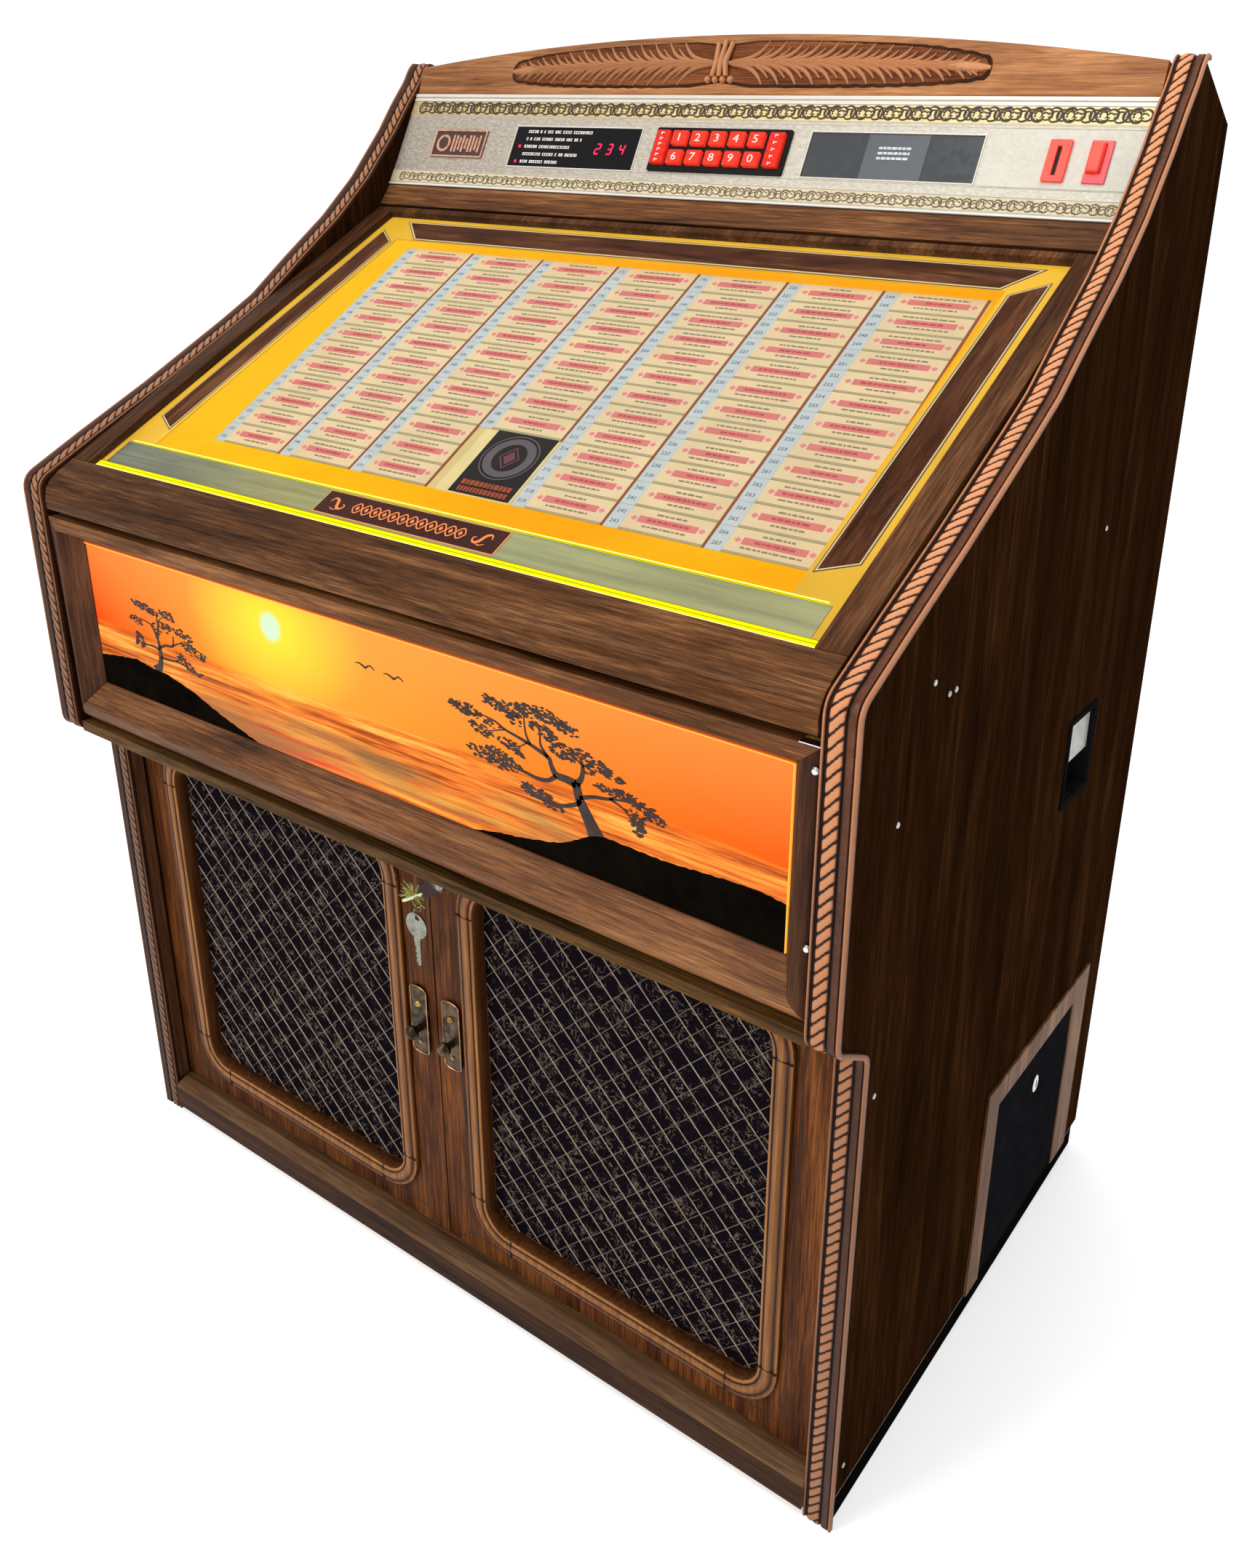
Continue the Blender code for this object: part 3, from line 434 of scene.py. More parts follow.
def basis(origin, ax, ay):
    ax, ay = Vector(ax).normalized(), Vector(ay).normalized()
    az = ax.cross(ay)
    q = Matrix((ax, ay, az)).transposed().to_4x4()
    q.translation = Vector(origin)
    return q


def slope(top, bottom):
    return basis((0, top[0], top[1]), (1, 0, 0), (0, top[0] - bottom[0], top[1] - bottom[1]))


YZ = basis((0, 0, 0), (0, 1, 0), (0, 0, 1))
XZ = basis((0, 0, 0), (1, 0, 0), (0, 0, 1))


def rounded(x0, x1, z0, z1, r, n=6):
    pts = []
    for cx, cz, a0 in ((x1 - r, z0 + r, -90), (x1 - r, z1 - r, 0), (x0 + r, z1 - r, 90), (x0 + r, z0 + r, 180)):
        for i in range(n + 1):
            a = math.radians(a0 + 90 * i / n)
            pts.append((cx + r * math.cos(a), cz + r * math.sin(a)))
    return pts


def rect(x0, x1, z0, z1):
    return [(x0, z0), (x1, z0), (x1, z1), (x0, z1)]


def ringed(b, outer, inner, d0, d1, m=I4):
    """Plate between two outlines with the same number of points."""
    loops = [[(x, y, d0) for x, y in outer], [(x, y, d1) for x, y in outer],
             [(x, y, d1) for x, y in inner], [(x, y, d0) for x, y in inner]]
    b.loft(loops, m, False, True)


def screw_head(b, m, r=0.0035, h=0.0012):
    """Domed cross-head screw, axis along local Z."""
    b.lathe([(0, -0.0005), (r, -0.0005), (r, h * 0.25), (r * 0.8, h * 0.8), (r * 0.4, h), (0, h)], 16, m)


def paint(node, mat, bevel=0.0, seg=2):
    """Gives a carried-over CAD node its finish and, if asked, soft edges."""
    o = NODES[node]
    o.data.materials.clear()
    o.data.materials.append(mat)
    if bevel:
        w = o.modifiers.new("weld", "WELD")
        w.merge_threshold = 0.00001
        b = o.modifiers.new("edge", "BEVEL")
        b.width = bevel
        b.segments = seg
        b.limit_method = "ANGLE"
        b.angle_limit = math.radians(30)
    return o


def arc(c, r, a0, a1, n):
    return [(c[0] + r * math.cos(math.radians(a0 + (a1 - a0) * i / n)),
             c[1] + r * math.sin(math.radians(a0 + (a1 - a0) * i / n))) for i in range(n + 1)]


# ---------------------------------------------------------- key dimensions
HALF_W, XI, PANEL_X = 0.5075, 0.4770, 0.5038
GLASS_TOP, GLASS_BOT = (0.1284, 1.1080), (-0.3039, 0.8615)
FASCIA_TOP, FASCIA_BOT = (0.2121, 1.2492), (0.1569, 1.1426)
LIDF = slope(GLASS_TOP, GLASS_BOT)
FASF = slope(FASCIA_TOP, FASCIA_BOT)
CRF = slope((0.2252, 1.2821), (0.2128, 1.2490))
LID_LEN = math.hypot(GLASS_TOP[0] - GLASS_BOT[0], GLASS_TOP[1] - GLASS_BOT[1])

# ============================================================== side edge trim
EDGE = [(-0.2944, 0.0), (-0.2944, 0.5260)]
EDGE += arc((-0.3044, 0.5260), 0.0100, 0, 58, 5)[1:]
EDGE += [(-0.3340, 0.5572)]
EDGE += arc((-0.3311, 0.5712), 0.0140, 258, 180, 7)[1:]
EDGE += arc((-0.3231, 0.8330), 0.0220, 180, 118, 8)
SLOPE = [(-0.2734, 0.8854), (-0.1912, 0.9289), (-0.0841, 0.9897), (-0.0409, 1.0156), (0.0085, 1.0549),
         (0.0719, 1.1032), (0.1214, 1.1486), (0.1702, 1.2047), (0.1948, 1.2380), (0.2164, 1.2640)]
EDGE += SLOPE + [(0.2262, 1.2800), (0.2345, 1.2880), (0.2440, 1.2862)]


def resample(path, step):
    pts = [Vector(p) for p in path]
    out, need = [pts[0]], step
    for a, b in zip(pts[:-1], pts[1:]):
        length, d = (b - a).length, need
        while d <= length:
            out.append(a + (b - a) * (d / length))
            d += step
        need = d - length
    if (out[-1] - pts[-1]).length > step * 0.3:
        out.append(pts[-1])
    return out


def normals2(path):
    """Outward normals (away from the cabinet) along the edge path."""
    out = []
    for i in range(len(path)):
        a, b = path[max(i - 2, 0)], path[min(i + 2, len(path) - 1)]
        d = (b - a).normalized()
        out.append(Vector((-d.y, d.x)))
    return out


# A smoothed, evenly spaced version of the edge line for the rope.
raw = resample(EDGE, 0.0013)
smooth = list(raw)
for _ in range(8):
    smooth = [smooth[0]] + [(smooth[i - 1] + smooth[i] * 2 + smooth[i + 1]) / 4
                            for i in range(1, len(smooth) - 1)] + [smooth[-1]]
PATH, NORM = smooth, normals2(smooth)
PITCH = 0.0112
ROPE_X0, ROPE_X1 = 0.4815, 0.4955    # rope band across the trim
# Cross-section of the carrier moulding, (x, depth below the outer edge).
SECTION = [(0.4770, 0.0050), (0.4770, 0.0016), (0.4776, 0.0009), (0.4787, 0.0006), (0.4797, 0.0012),
           (0.4803, 0.0026), (0.4965, 0.0026), (0.4972, 0.0014), (0.4982, 0.0010), (0.5030, 0.0008),
           (0.5038, 0.0016), (0.5044, 0.0014), (0.5052, 0.0004), (0.5066, 0.0002), (0.5075, 0.0012),
           (0.5075, 0.0050)]
# Shade value per section point: dark in the rope channel and the groove, partly antiqued finish and partly painted
# shade; lightest on the outer arris, a painted highlight.
SEC_CAV = [0.3, 0.5, 0.75, 0.8, 0.35, 0.0, 0.0, 0.25, 0.35, 0.42, 0.12, 0.3, 0.95, 1.0, 0.75, 0.4]

for side, s in (("left", -1), ("right", 1)):
    b = Build()
    idx = list(range(0, len(PATH), 4))
    if idx[-1] != len(PATH) - 1:
        idx.append(len(PATH) - 1)
    loops, cav = [], []
    for i in idx:
        p, nrm = PATH[i], NORM[i]
        loops.append([(s * x, p.x - nrm.x * d, p.y - nrm.y * d) for x, d in SECTION])
        cav += SEC_CAV
    b.loft(loops, cav=cav)
    trim = b.obj("edge_moulding_" + side, RIM, "cabinet", 40, replaces=["edge_trim_" + side], slot="trim")
    # Twisted rope: slanting S-shaped lobes on a rounded strand.
    b = Build()
    NV = 9
    rows, cav = [], []
    u = 0.0
    mid, half = (ROPE_X0 + ROPE_X1) / 2, (ROPE_X1 - ROPE_X0) / 2
    for i, (p, nrm) in enumerate(zip(PATH, NORM)):
        if i:
            u += (PATH[i] - PATH[i - 1]).length
        row = []
        for j in range(NV):
            v = -1 + 2 * j / (NV - 1)
            skew = 0.62 * PITCH * (1.25 * v - 0.25 * v ** 3)
            ph = ((u - skew) / PITCH) % 1.0 * 2 - 1
            lobe = math.sqrt(max(0.0, 1 - abs(ph) ** 2.6))
            strand = math.sqrt(max(0.0, 1 - v * v * 0.97))
            h = 0.0024 * strand * (0.25 + 0.75 * lobe)
            d = 0.0025 - h
            row.append((s * (mid + half * v), p.x - nrm.x * d, p.y - nrm.y * d))
            # cav is light on the lobe crests as a painted highlight, and dark between the lobes and at the strand's
            # sides as painted shade.
            cav.append(min(1.0, max(0.0, (lobe - 0.58) / 0.30)) * min(1.0, strand * 1.6 - 0.35))
        d = 0.0032
        row += [(s * ROPE_X1, p.x - nrm.x * d, p.y - nrm.y * d), (s * ROPE_X0, p.x - nrm.x * d, p.y - nrm.y * d)]
        cav += [0.0, 0.0]
        rows.append(row)
    b.loft(rows, cav=cav)
    rope = b.obj("edge_rope_" + side, ROPE, "cabinet", 75, slot="trim")

# ================================================================ side panels
for side in ("left", "right"):
    paint("side_panel_" + side, SIDE)
paint("base_plinth", PLINTH, 0.001)
paint("back_panel", BOARD)
paint("top_board", WALNUT_X, 0.0008)
paint("base_rail", LEDGE, 0.0010)
paint("soffit_board", SOFFIT, 0.0006)
paint("rear_rail", WALNUT_X, 0.0008)
# Inner facing strips of the side panels seen beside the doors and picture.
b = Build()
for s in (-1, 1):
    b.box((s * 0.4769, -0.2890, 0.0480), (s * 0.4757, -0.2765, 0.5560))
b.obj("side_inner_facing", SIDE_IN, "cabinet")
# Front face of the base rail under its lighter ledge, in a darker copy of the rail wood: painted shade under the ledge.
b = Build()
b.prism([(-0.29575, 0.0082), (-0.29575, 0.0368), (-0.2951, 0.0375), (-0.2951, 0.0078)], -0.4764, 0.4764, YZ)
b.obj("base_rail_face", wood("rail_face_shade_wood", "1e130d", "3a271b", "523a2a", "x", 0.6, 0.4, 1.3, 0.0, seed=12),
      "cabinet")
# Dome screws and small fixings on the right side.
b = Build()
for y, z in ((-0.224, 0.826), (-0.196, 0.808), (-0.184, 0.808), (-0.268, 0.726), (0.135, 0.870),
             (-0.270, 0.060), (0.300, 0.060), (-0.270, 0.480)):
    screw_head(b, basis((PANEL_X + 0.0001, y, z), (0, 1, 0), (0, 0, 1)), 0.0026, 0.0010)
for y, z in ((-0.224, 0.826), (-0.268, 0.726), (0.135, 0.870), (-0.270, 0.060), (0.300, 0.060)):
    screw_head(b, basis((-PANEL_X - 0.0001, y, z), (0, -1, 0), (0, 0, 1)), 0.0026, 0.0010)
b.obj("side_screws", STEEL, "cabinet")

# ===================================================================== crest
b = Build()
CL, LOW = 0.4755, -0.0353


def crest_top(x):
    t = x / CL
    return LOW + 0.0340 + (0.0668 - 0.0340) * (1 - t * t)


NCX = 48
loops = []
for i in range(NCX + 1):
    x = -CL + 2 * CL * i / NCX
    t = crest_top(x)
    loops.append([(x, LOW + 0.0006, -0.0120), (x, LOW + 0.0006, 0.0), (x, LOW + 0.0024, 0.0009),
                  (x, LOW + 0.0050, 0.0002), (x, t - 0.0075, 0.0002), (x, t - 0.0060, 0.0012),
                  (x, t - 0.0020, 0.0014), (x, t, -0.0006), (x, t, -0.0110), (x, t - 0.001, -0.0120)])
b.loft(loops, CRF)
b.obj("crest_moulded_board", CREST, "cabinet", 40, replaces=["crest_board"], slot="oak")
# Carved leaf sprays either side of a tie, dark in the cut hollows as painted shade.
CARVE = trim_material("carved_leaf", "7a4a2e", "bd8259", 0.42)
b = Build()


def leaf(b, root, tip, bend, w, h, n=8):
    """A curved blade from root to tip with a raised spine."""
    root, tip = Vector(root), Vector(tip)
    d = tip - root
    side = Vector((-d.y, d.x))
    loops, cav = [], []
    for i in range(n + 1):
        t = i / n
        c = root + d * t + side * (bend * math.sin(math.pi * t) * (0.4 + 0.6 * t))
        ww = w * (0.30 + 0.95 * math.sin(math.pi * min(1.0, t * 0.80 + 0.12))) * (1.0 if t < 0.9 else 0.75)
        tn = d + side * bend * 1.2 * math.cos(math.pi * t)
        tn = tn.normalized()
        q = Vector((-tn.y, tn.x))
        hh = h * (0.55 + 0.45 * math.sin(math.pi * min(1, t + 0.15)))
        ring = []
        for a, f in ((-1.0, 0.0), (-0.62, 0.62), (0.0, 1.0), (0.62, 0.55), (1.0, 0.0)):
            p = c + q * (ww * a)
            ring.append((p.x, p.y, 0.0001 + hh * f))
            # cav: dark at the blade's edges as painted shade, light along the spine as a painted highlight.
            cav.append(0.05 if abs(a) == 1 else (0.95 if a == 0 else 0.62))
        ring.append((c.x, c.y, -0.0006))
        cav.append(0.0)
        loops.append(ring)
    b.loft(loops, CRF, cav=cav)


CX = -0.013


def mid_y(x):
    return LOW + 0.0012 + (crest_top(x) - LOW) * 0.5


def half_h(x, s, x_end):
    """Half height of the spray at x: full near the tie, closing to a point."""
    k = abs(x - CX) / abs(x_end - CX)
    return 0.0232 * math.sqrt(max(0.02, 1 - max(0.0, k - 0.05) ** 2.6)) * (0.80 if k < 0.05 else 1.0)


for s, x_end in ((-1, -0.318), (1, 0.302)):
    span = abs(x_end - CX)
    n = 12
    for i in range(n):
        t = i / n
        x = CX + s * (0.014 + span * 0.86 * t)
        run = 0.046 * (1 - 0.30 * t)
        xt = x + s * run
        if abs(xt - CX) > span * 0.985:
            xt = CX + s * span * 0.985
        cy0, cy1 = mid_y(x), mid_y(xt)
        hh = half_h(xt, s, x_end)
        for q in (1, -1):
            top = cy1 + q * min(hh, (crest_top(xt) - 0.0085 - cy1) if q > 0 else hh)
            # Three grooved strands make one leaf; the tips fan apart.
            for j, (dt, dh, w_, hgt) in enumerate(((0.000, 1.00, 0.0030, 0.0046), (0.007, 0.72, 0.0030, 0.0054),
                                                  (0.012, 0.46, 0.0026, 0.0048))):
                ty = cy1 + (top - cy1) * dh
                leaf(b, (x - s * 0.006, cy0 + q * 0.0008), (xt - s * 0.004 + s * dt, ty), -0.20 * s * q, w_, hgt)
    leaf(b, (x_end - s * 0.050, mid_y(x_end - s * 0.05)), (x_end + s * 0.002, mid_y(x_end)), 0.0, 0.0060, 0.0050)
    for q in (-1, 1):
        leaf(b, (x_end - s * 0.055, mid_y(x_end - s * 0.05)), (x_end - s * 0.010, mid_y(x_end) + q * 0.0075), -0.12 * s * q, 0.0030, 0.0046)
# Central stem and tie.
b.tube([(x, mid_y(x), 0.0024) for x in (-0.300, -0.22, -0.15, -0.08, CX, 0.06, 0.13, 0.20, 0.285)],
       [0.0010, 0.0013, 0.0016, 0.0018, 0.0021, 0.0018, 0.0016, 0.0013, 0.0010], 6, CRF, cav=0.85)
TY = mid_y(CX)
for dx, top in ((-0.0075, 0.0215), (0.0, 0.0240), (0.0075, 0.0215)):
    b.tube([(CX + dx * 1.2, TY - 0.0150, 0.0034), (CX + dx * 0.75, TY, 0.0052), (CX + dx * 1.25, TY + top, 0.0030)],
           [0.0030, 0.0034, 0.0026], 8, CRF, cav=0.9)
for dx in (-0.0150, -0.0050, 0.0050, 0.0150):
    b.lathe([(0, 0.0002), (0.0040, 0.0002), (0.0038, 0.0032), (0.0021, 0.0050), (0, 0.0054)], 10,
            CRF @ Matrix.Translation((CX + dx, TY - 0.0180, 0)), 0.85)
b.obj("crest_carving", CARVE, "cabinet", 60)
# Cut ground under the leaves, lighter inside a dark scalloped rim; the rim is painted shadow round the leaf tips.
for name, grow, top_, mat in (("crest_carving_shadow_rim", 0.0022, 0.0008, wood("carving_shadow_rim_wood", "1c0d07", "38200f", "573620", "x", 0.7, 0.5, 2.0, seed=13)),
                              ("crest_carving_ground", -0.0010, 0.0010, wood("carving_ground_wood", "452715", "6e432a", "935f3e", "x", 0.6, 0.5, 2.0, seed=14))):
    b = Build()
    pts = []
    NS = 260
    for i in range(NS):
        a = 2 * math.pi * i / NS
        ca, sa = math.cos(a), math.sin(a)
        x_end = 0.302 if ca >= 0 else -0.318
        x = CX + (abs(x_end - CX) + grow) * (abs(ca) ** 0.55) * (1 if ca >= 0 else -1)
        xc = max(-0.3175, min(0.3015, x))
        hh = (half_h(xc, 1 if ca >= 0 else -1, x_end) if abs(sa) > 0.22 else 0.0232 * abs(sa) * 1.6) + grow
        hh += 0.0011 * abs(math.sin((x - CX) * 165))
        cyy = mid_y(x)
        hh = max(hh, 0.0004)
        pts.append((x, cyy + (min(hh, crest_top(x) - 0.0078 - cyy) if sa >= 0 else -min(hh, cyy - LOW - 0.0056))))
    b.prism(pts, 0.0000, top_, CRF)
    b.obj(name, mat, "cabinet", flat=True)

# ============================================================ picture frame
PX, PZ0, PZ1 = 0.4460, 0.6190, 0.7820
OX, OZ0, OZ1 = 0.4755, 0.5735, 0.8072
b = Build()


def frame_loop(t, yb, yt):
    x = PX + (OX - PX) * t
    z0, z1 = PZ0 + (OZ0 - PZ0) * t, PZ1 + (OZ1 - PZ1) * t
    return [(-x, yb, z0), (x, yb, z0), (x, yt, z1), (-x, yt, z1)]


prof = [(0.0, -0.3206, -0.3206), (0.0, -0.3222, -0.3222), (0.035, -0.3229, -0.3229), (0.46, -0.3416, -0.3416),
        (0.49, -0.3427, -0.3427), (0.53, -0.3430, -0.3430), (0.66, -0.3418, -0.3424), (0.80, -0.3388, -0.3418),
        (0.92, -0.3345, -0.3414), (1.0, -0.3292, -0.3402), (1.0, -0.3206, -0.3206)]
# Four mitred members so that each carries its own grain direction.
loops = [frame_loop(t, yb, yt) for t, yb, yt in prof]
for name, i, mat in (("bottom", 0, WALNUT_X), ("right", 1, WALNUT_Z), ("top", 2, WALNUT_X), ("left", 3, WALNUT_Z)):
    j = (i + 1) % 4
    b = Build()
    a = [l[i] for l in loops]
    c = [l[j] for l in loops]
    mid = [tuple((Vector(p) + Vector(q)) / 2) for p, q in zip(a, c)]
    b.loft([a, mid, c])
    b.obj("picture_frame_" + name, mat, "cabinet", 25, 0.0004, 1,
          replaces=["picture_frame"] if name == "bottom" else (), slot="walnut")
# Dark shadow gap liner around the frame, and its metal glide and pins.
b = Build()
b.box((-0.4768, -0.3195, 0.8085), (0.4768, -0.3150, 0.8140))
b.obj("gap_liner", RUBBER, "cabinet")
b = Build()
b.box((0.4580, -0.3412, 0.8076), (0.4760, -0.3220, 0.8084))
for z in (0.790, 0.645):
    b.lathe([(0, 0), (0.0034, 0), (0.0034, 0.0010), (0.0022, 0.0024), (0, 0.0028)], 14,
            basis((0.4735, -0.3417 if z > 0.7 else -0.3395, z), (1, 0, 0), (0, 0, 1)))
b.obj("frame_pins", CHROME, "cabinet")

# ================================================================== picture
def glyphs(chars):
    """Flat generic numerals as closed shapes of unit height, centred."""
    out = {}
    for ch in chars:
        cu = bpy.data.curves.new("g", "FONT")
        cu.body = ch
        cu.align_x, cu.align_y = "CENTER", "CENTER"
        cu.extrude = 0.05
        cu.resolution_u = 3
        o = bpy.data.objects.new("g", cu)
        scene.collection.objects.link(o)
        bpy.context.view_layer.update()
        me = o.to_mesh()
        v = [tuple(p.co) for p in me.vertices]
        f = [tuple(p.vertices) for p in me.polygons]
        o.to_mesh_clear()
        bpy.data.objects.remove(o)
        bpy.data.curves.remove(cu)
        ys, xs = [p[1] for p in v], [p[0] for p in v]
        h, cx, cy = max(ys) - min(ys), (max(xs) + min(xs)) / 2, (max(ys) + min(ys)) / 2
        out[ch] = ([((x - cx) / h, (y - cy) / h, z / 0.05) for x, y, z in v], f)
    return out


NUM = glyphs("0123456789")


def number(b, text, m, x, y, h, z0, z1, gap=0.78, wide=1.0):
    """Digits centred on (x, y) of frame m, between heights z0 and z1."""
    n = len(text)
    for i, ch in enumerate(text):
        v, f = NUM[ch]
        ox = x + (i - (n - 1) / 2) * h * gap
        b.add([(ox + p[0] * h * wide, y + p[1] * h, z0 if p[2] < 0 else z1) for p in v], f, m)


w = Mat("sunset_print", 0.7, Specular_IOR_Level=0.05)
sep = w.n("SeparateXYZ", {"Vector": w.coords()})
X, Z = sep.outputs["X"], sep.outputs["Z"]
u = w.n("MapRange", {"Value": X, "From Min": -0.446, "From Max": 0.446}).outputs[0]
v = w.n("MapRange", {"Value": Z, "From Min": 0.690, "From Max": 0.785}).outputs[0]
sky = w.ramp(u, [(0.0, srgb("ff4a0c")), (0.05, srgb("ff6512")), (0.16, srgb("ff8420")), (0.32, srgb("ffae34")),
                 (0.46, srgb("ffa232")), (0.66, srgb("ff8a24")), (0.84, srgb("ff7212")), (1.0, srgb("ff5c08"))])
sky = w.mix(w.math("MULTIPLY", v, 0.50), sky, srgb("ffb258"))
dx = w.math("ADD", X, 0.146)
dz = w.math("SUBTRACT", Z, 0.7508)
dd = w.math("SQRT", w.math("ADD", w.math("MULTIPLY", w.math("MULTIPLY", dx, dx), 0.42), w.math("MULTIPLY", dz, dz)))
halo = w.ramp(dd, [(0.0, (1, 1, 1, 1)), (0.018, (0.95, 0.95, 0.95, 1)), (0.045, (0.55, 0.55, 0.55, 1)),
                   (0.085, (0, 0, 0, 1))])
sky = w.mix(halo, sky, srgb("ffe93c"))
r2 = w.math("SQRT", w.math("ADD", w.math("MULTIPLY", dx, dx), w.math("MULTIPLY", dz, dz)))
core = w.ramp(r2, [(0.0145, (1, 1, 1, 1)), (0.0158, (0, 0, 0, 1))])
# The sea: long streaks, darker and redder towards the lower left.
st = w.noise(w.coords((5, 1, 120), loc=(3, 0, 1)), 1.6, 5, 0.62, 0.35)
big = w.noise(w.coords((3, 1, 16), loc=(7, 0, 5)), 1.5, 3, 0.5, 0.4)
sea = w.ramp(st, [(0.36, srgb("a84c1c")), (0.47, srgb("f07a2c")), (0.56, srgb("ff9c3c")), (0.68, srgb("ffc458"))])
sea = w.mix(halo, sea, srgb("ffd23c"), "MIX")
pk = w.n("MapRange", {"Value": Z, "From Min": 0.652, "From Max": 0.622}).outputs[0]
pk2 = w.n("MapRange", {"Value": X, "From Min": 0.02, "From Max": -0.14}).outputs[0]
sea = w.mix(w.math("MULTIPLY", w.math("MULTIPLY", pk, pk2), 0.75), sea, srgb("ff5540"))
gr = w.ramp(big, [(0.50, (0, 0, 0, 1)), (0.64, (0.7, 0.7, 0.7, 1))])
low = w.n("MapRange", {"Value": Z, "From Min": 0.676, "From Max": 0.650}).outputs[0]
sea = w.mix(w.math("MULTIPLY", gr, low), sea, srgb("8c7548"))
hz = w.math("ADD", 0.6925, w.math("MULTIPLY", w.math("SUBTRACT", big, 0.5), 0.006))
below = w.n("MapRange", {"Value": w.math("SUBTRACT", hz, Z), "From Min": -0.002, "From Max": 0.006}).outputs[0]
col = w.mix(below, sky, sea)
col = w.mix(core, col, srgb("dcf6cf"))
dimmed = w.mix(1.0, col, (0.12, 0.12, 0.12, 1), "MULTIPLY")
w.link(dimmed, "Base Color")
w.link(col, "Emission Color")
w.b.inputs["Emission Strength"].default_value = 0.92
paint("picture_panel", w.m)

SHADE = speckled("silhouette_print", "2c1108", "1c0a05", 60, 0.7, 0, 0.5, 0.0)
HILL = speckled("hill_print", "100c08", "070504", 40, 0.9, 0, 0.8, 0.0, Specular_IOR_Level=0.0)
PD0, PD1 = 0.3198, 0.3207


def stroke(b, pts, ws, m=XZ, d0=PD0, d1=PD1):
    """Tapering painted line through pts."""
    pts = [Vector(p) for p in pts]
    fine, fw = [], []
    for i in range(len(pts) - 1):
        p0, p1, p2, p3 = pts[max(i - 1, 0)], pts[i], pts[i + 1], pts[min(i + 2, len(pts) - 1)]
        for k in range(5):
            t = k / 5
            fine.append(0.5 * ((2 * p1) + (p2 - p0) * t + (2 * p0 - 5 * p1 + 4 * p2 - p3) * t * t
                               + (3 * p1 - p0 - 3 * p2 + p3) * t ** 3))
            fw.append(ws[i] + (ws[i + 1] - ws[i]) * t)
    fine.append(pts[-1])
    fw.append(ws[-1])
    loops = []
    for i, p in enumerate(fine):
        d = (fine[min(i + 1, len(fine) - 1)] - fine[max(i - 1, 0)]).normalized()
        q = Vector((-d.y, d.x)) * (fw[i] / 2)
        loops.append([(p.x + q.x, p.y + q.y, d0), (p.x - q.x, p.y - q.y, d0),
                      (p.x - q.x, p.y - q.y, d1), (p.x + q.x, p.y + q.y, d1)])
    b.loft(loops, m)


def clump(b, cx, cz, rx, rz, n, size, tilt=-0.35):
    """Cloud of small leaves."""
    for _ in range(n):
        a, r = rng.uniform(0, 6.283), math.sqrt(rng.random())
        x, z = rx * r * math.cos(a), rz * r * math.sin(a)
        z += x * tilt * 0.4
        s = size * rng.uniform(0.6, 1.5)
        t = rng.uniform(-0.5, 0.4)
        ca, sa = math.cos(t), math.sin(t)
        k = rng.randint(4, 6)
        loop = []
        for j in range(k):
            q = 2 * math.pi * j / k + rng.uniform(-0.3, 0.3)
            lx, lz = s * math.cos(q) * rng.uniform(0.7, 1.3), s * 0.42 * math.sin(q) * rng.uniform(0.7, 1.3)
            loop.append((cx + x + lx * ca - lz * sa, cz + z + lx * sa + lz * ca))
        b.prism(loop, PD0, PD1 + 0.00002 * rng.random(), XZ)


b = Build()
# Left tree.
stroke(b, [(-0.3466, 0.6560), (-0.3385, 0.6640), (-0.3354, 0.6750), (-0.3349, 0.6870)], [0.0150, 0.0080, 0.0062, 0.0052])
stroke(b, [(-0.3349, 0.6860), (-0.3375, 0.6960), (-0.3449, 0.7086)], [0.0045, 0.0030, 0.0014])
stroke(b, [(-0.3449, 0.7086), (-0.3600, 0.7115), (-0.3750, 0.7110)], [0.0016, 0.0010, 0.0006])
stroke(b, [(-0.3360, 0.6960), (-0.3330, 0.7080), (-0.3340, 0.7200)], [0.0026, 0.0018, 0.0010])
stroke(b, [(-0.3340, 0.7060), (-0.3300, 0.7170), (-0.3190, 0.7230)], [0.0018, 0.0012, 0.0007])
stroke(b, [(-0.3352, 0.6830), (-0.3475, 0.6845), (-0.3598, 0.6837), (-0.3771, 0.6845)], [0.0030, 0.0022, 0.0015, 0.0008])
stroke(b, [(-0.3600, 0.6840), (-0.3690, 0.6905), (-0.3760, 0.6920)], [0.0012, 0.0009, 0.0006])
stroke(b, [(-0.3345, 0.6860), (-0.3230, 0.6905), (-0.3114, 0.6926), (-0.3085, 0.7040)], [0.0036, 0.0028, 0.0024, 0.0012])
stroke(b, [(-0.3114, 0.6926), (-0.2980, 0.6985), (-0.2829, 0.6992), (-0.2600, 0.6950)], [0.0022, 0.0016, 0.0012, 0.0006])
stroke(b, [(-0.3350, 0.6745), (-0.3206, 0.6749), (-0.3092, 0.6765), (-0.2960, 0.6830)], [0.0030, 0.0022, 0.0020, 0.0009])
stroke(b, [(-0.3092, 0.6765), (-0.2960, 0.6750), (-0.2800, 0.6715), (-0.2673, 0.6701)], [0.0018, 0.0014, 0.0010, 0.0006])
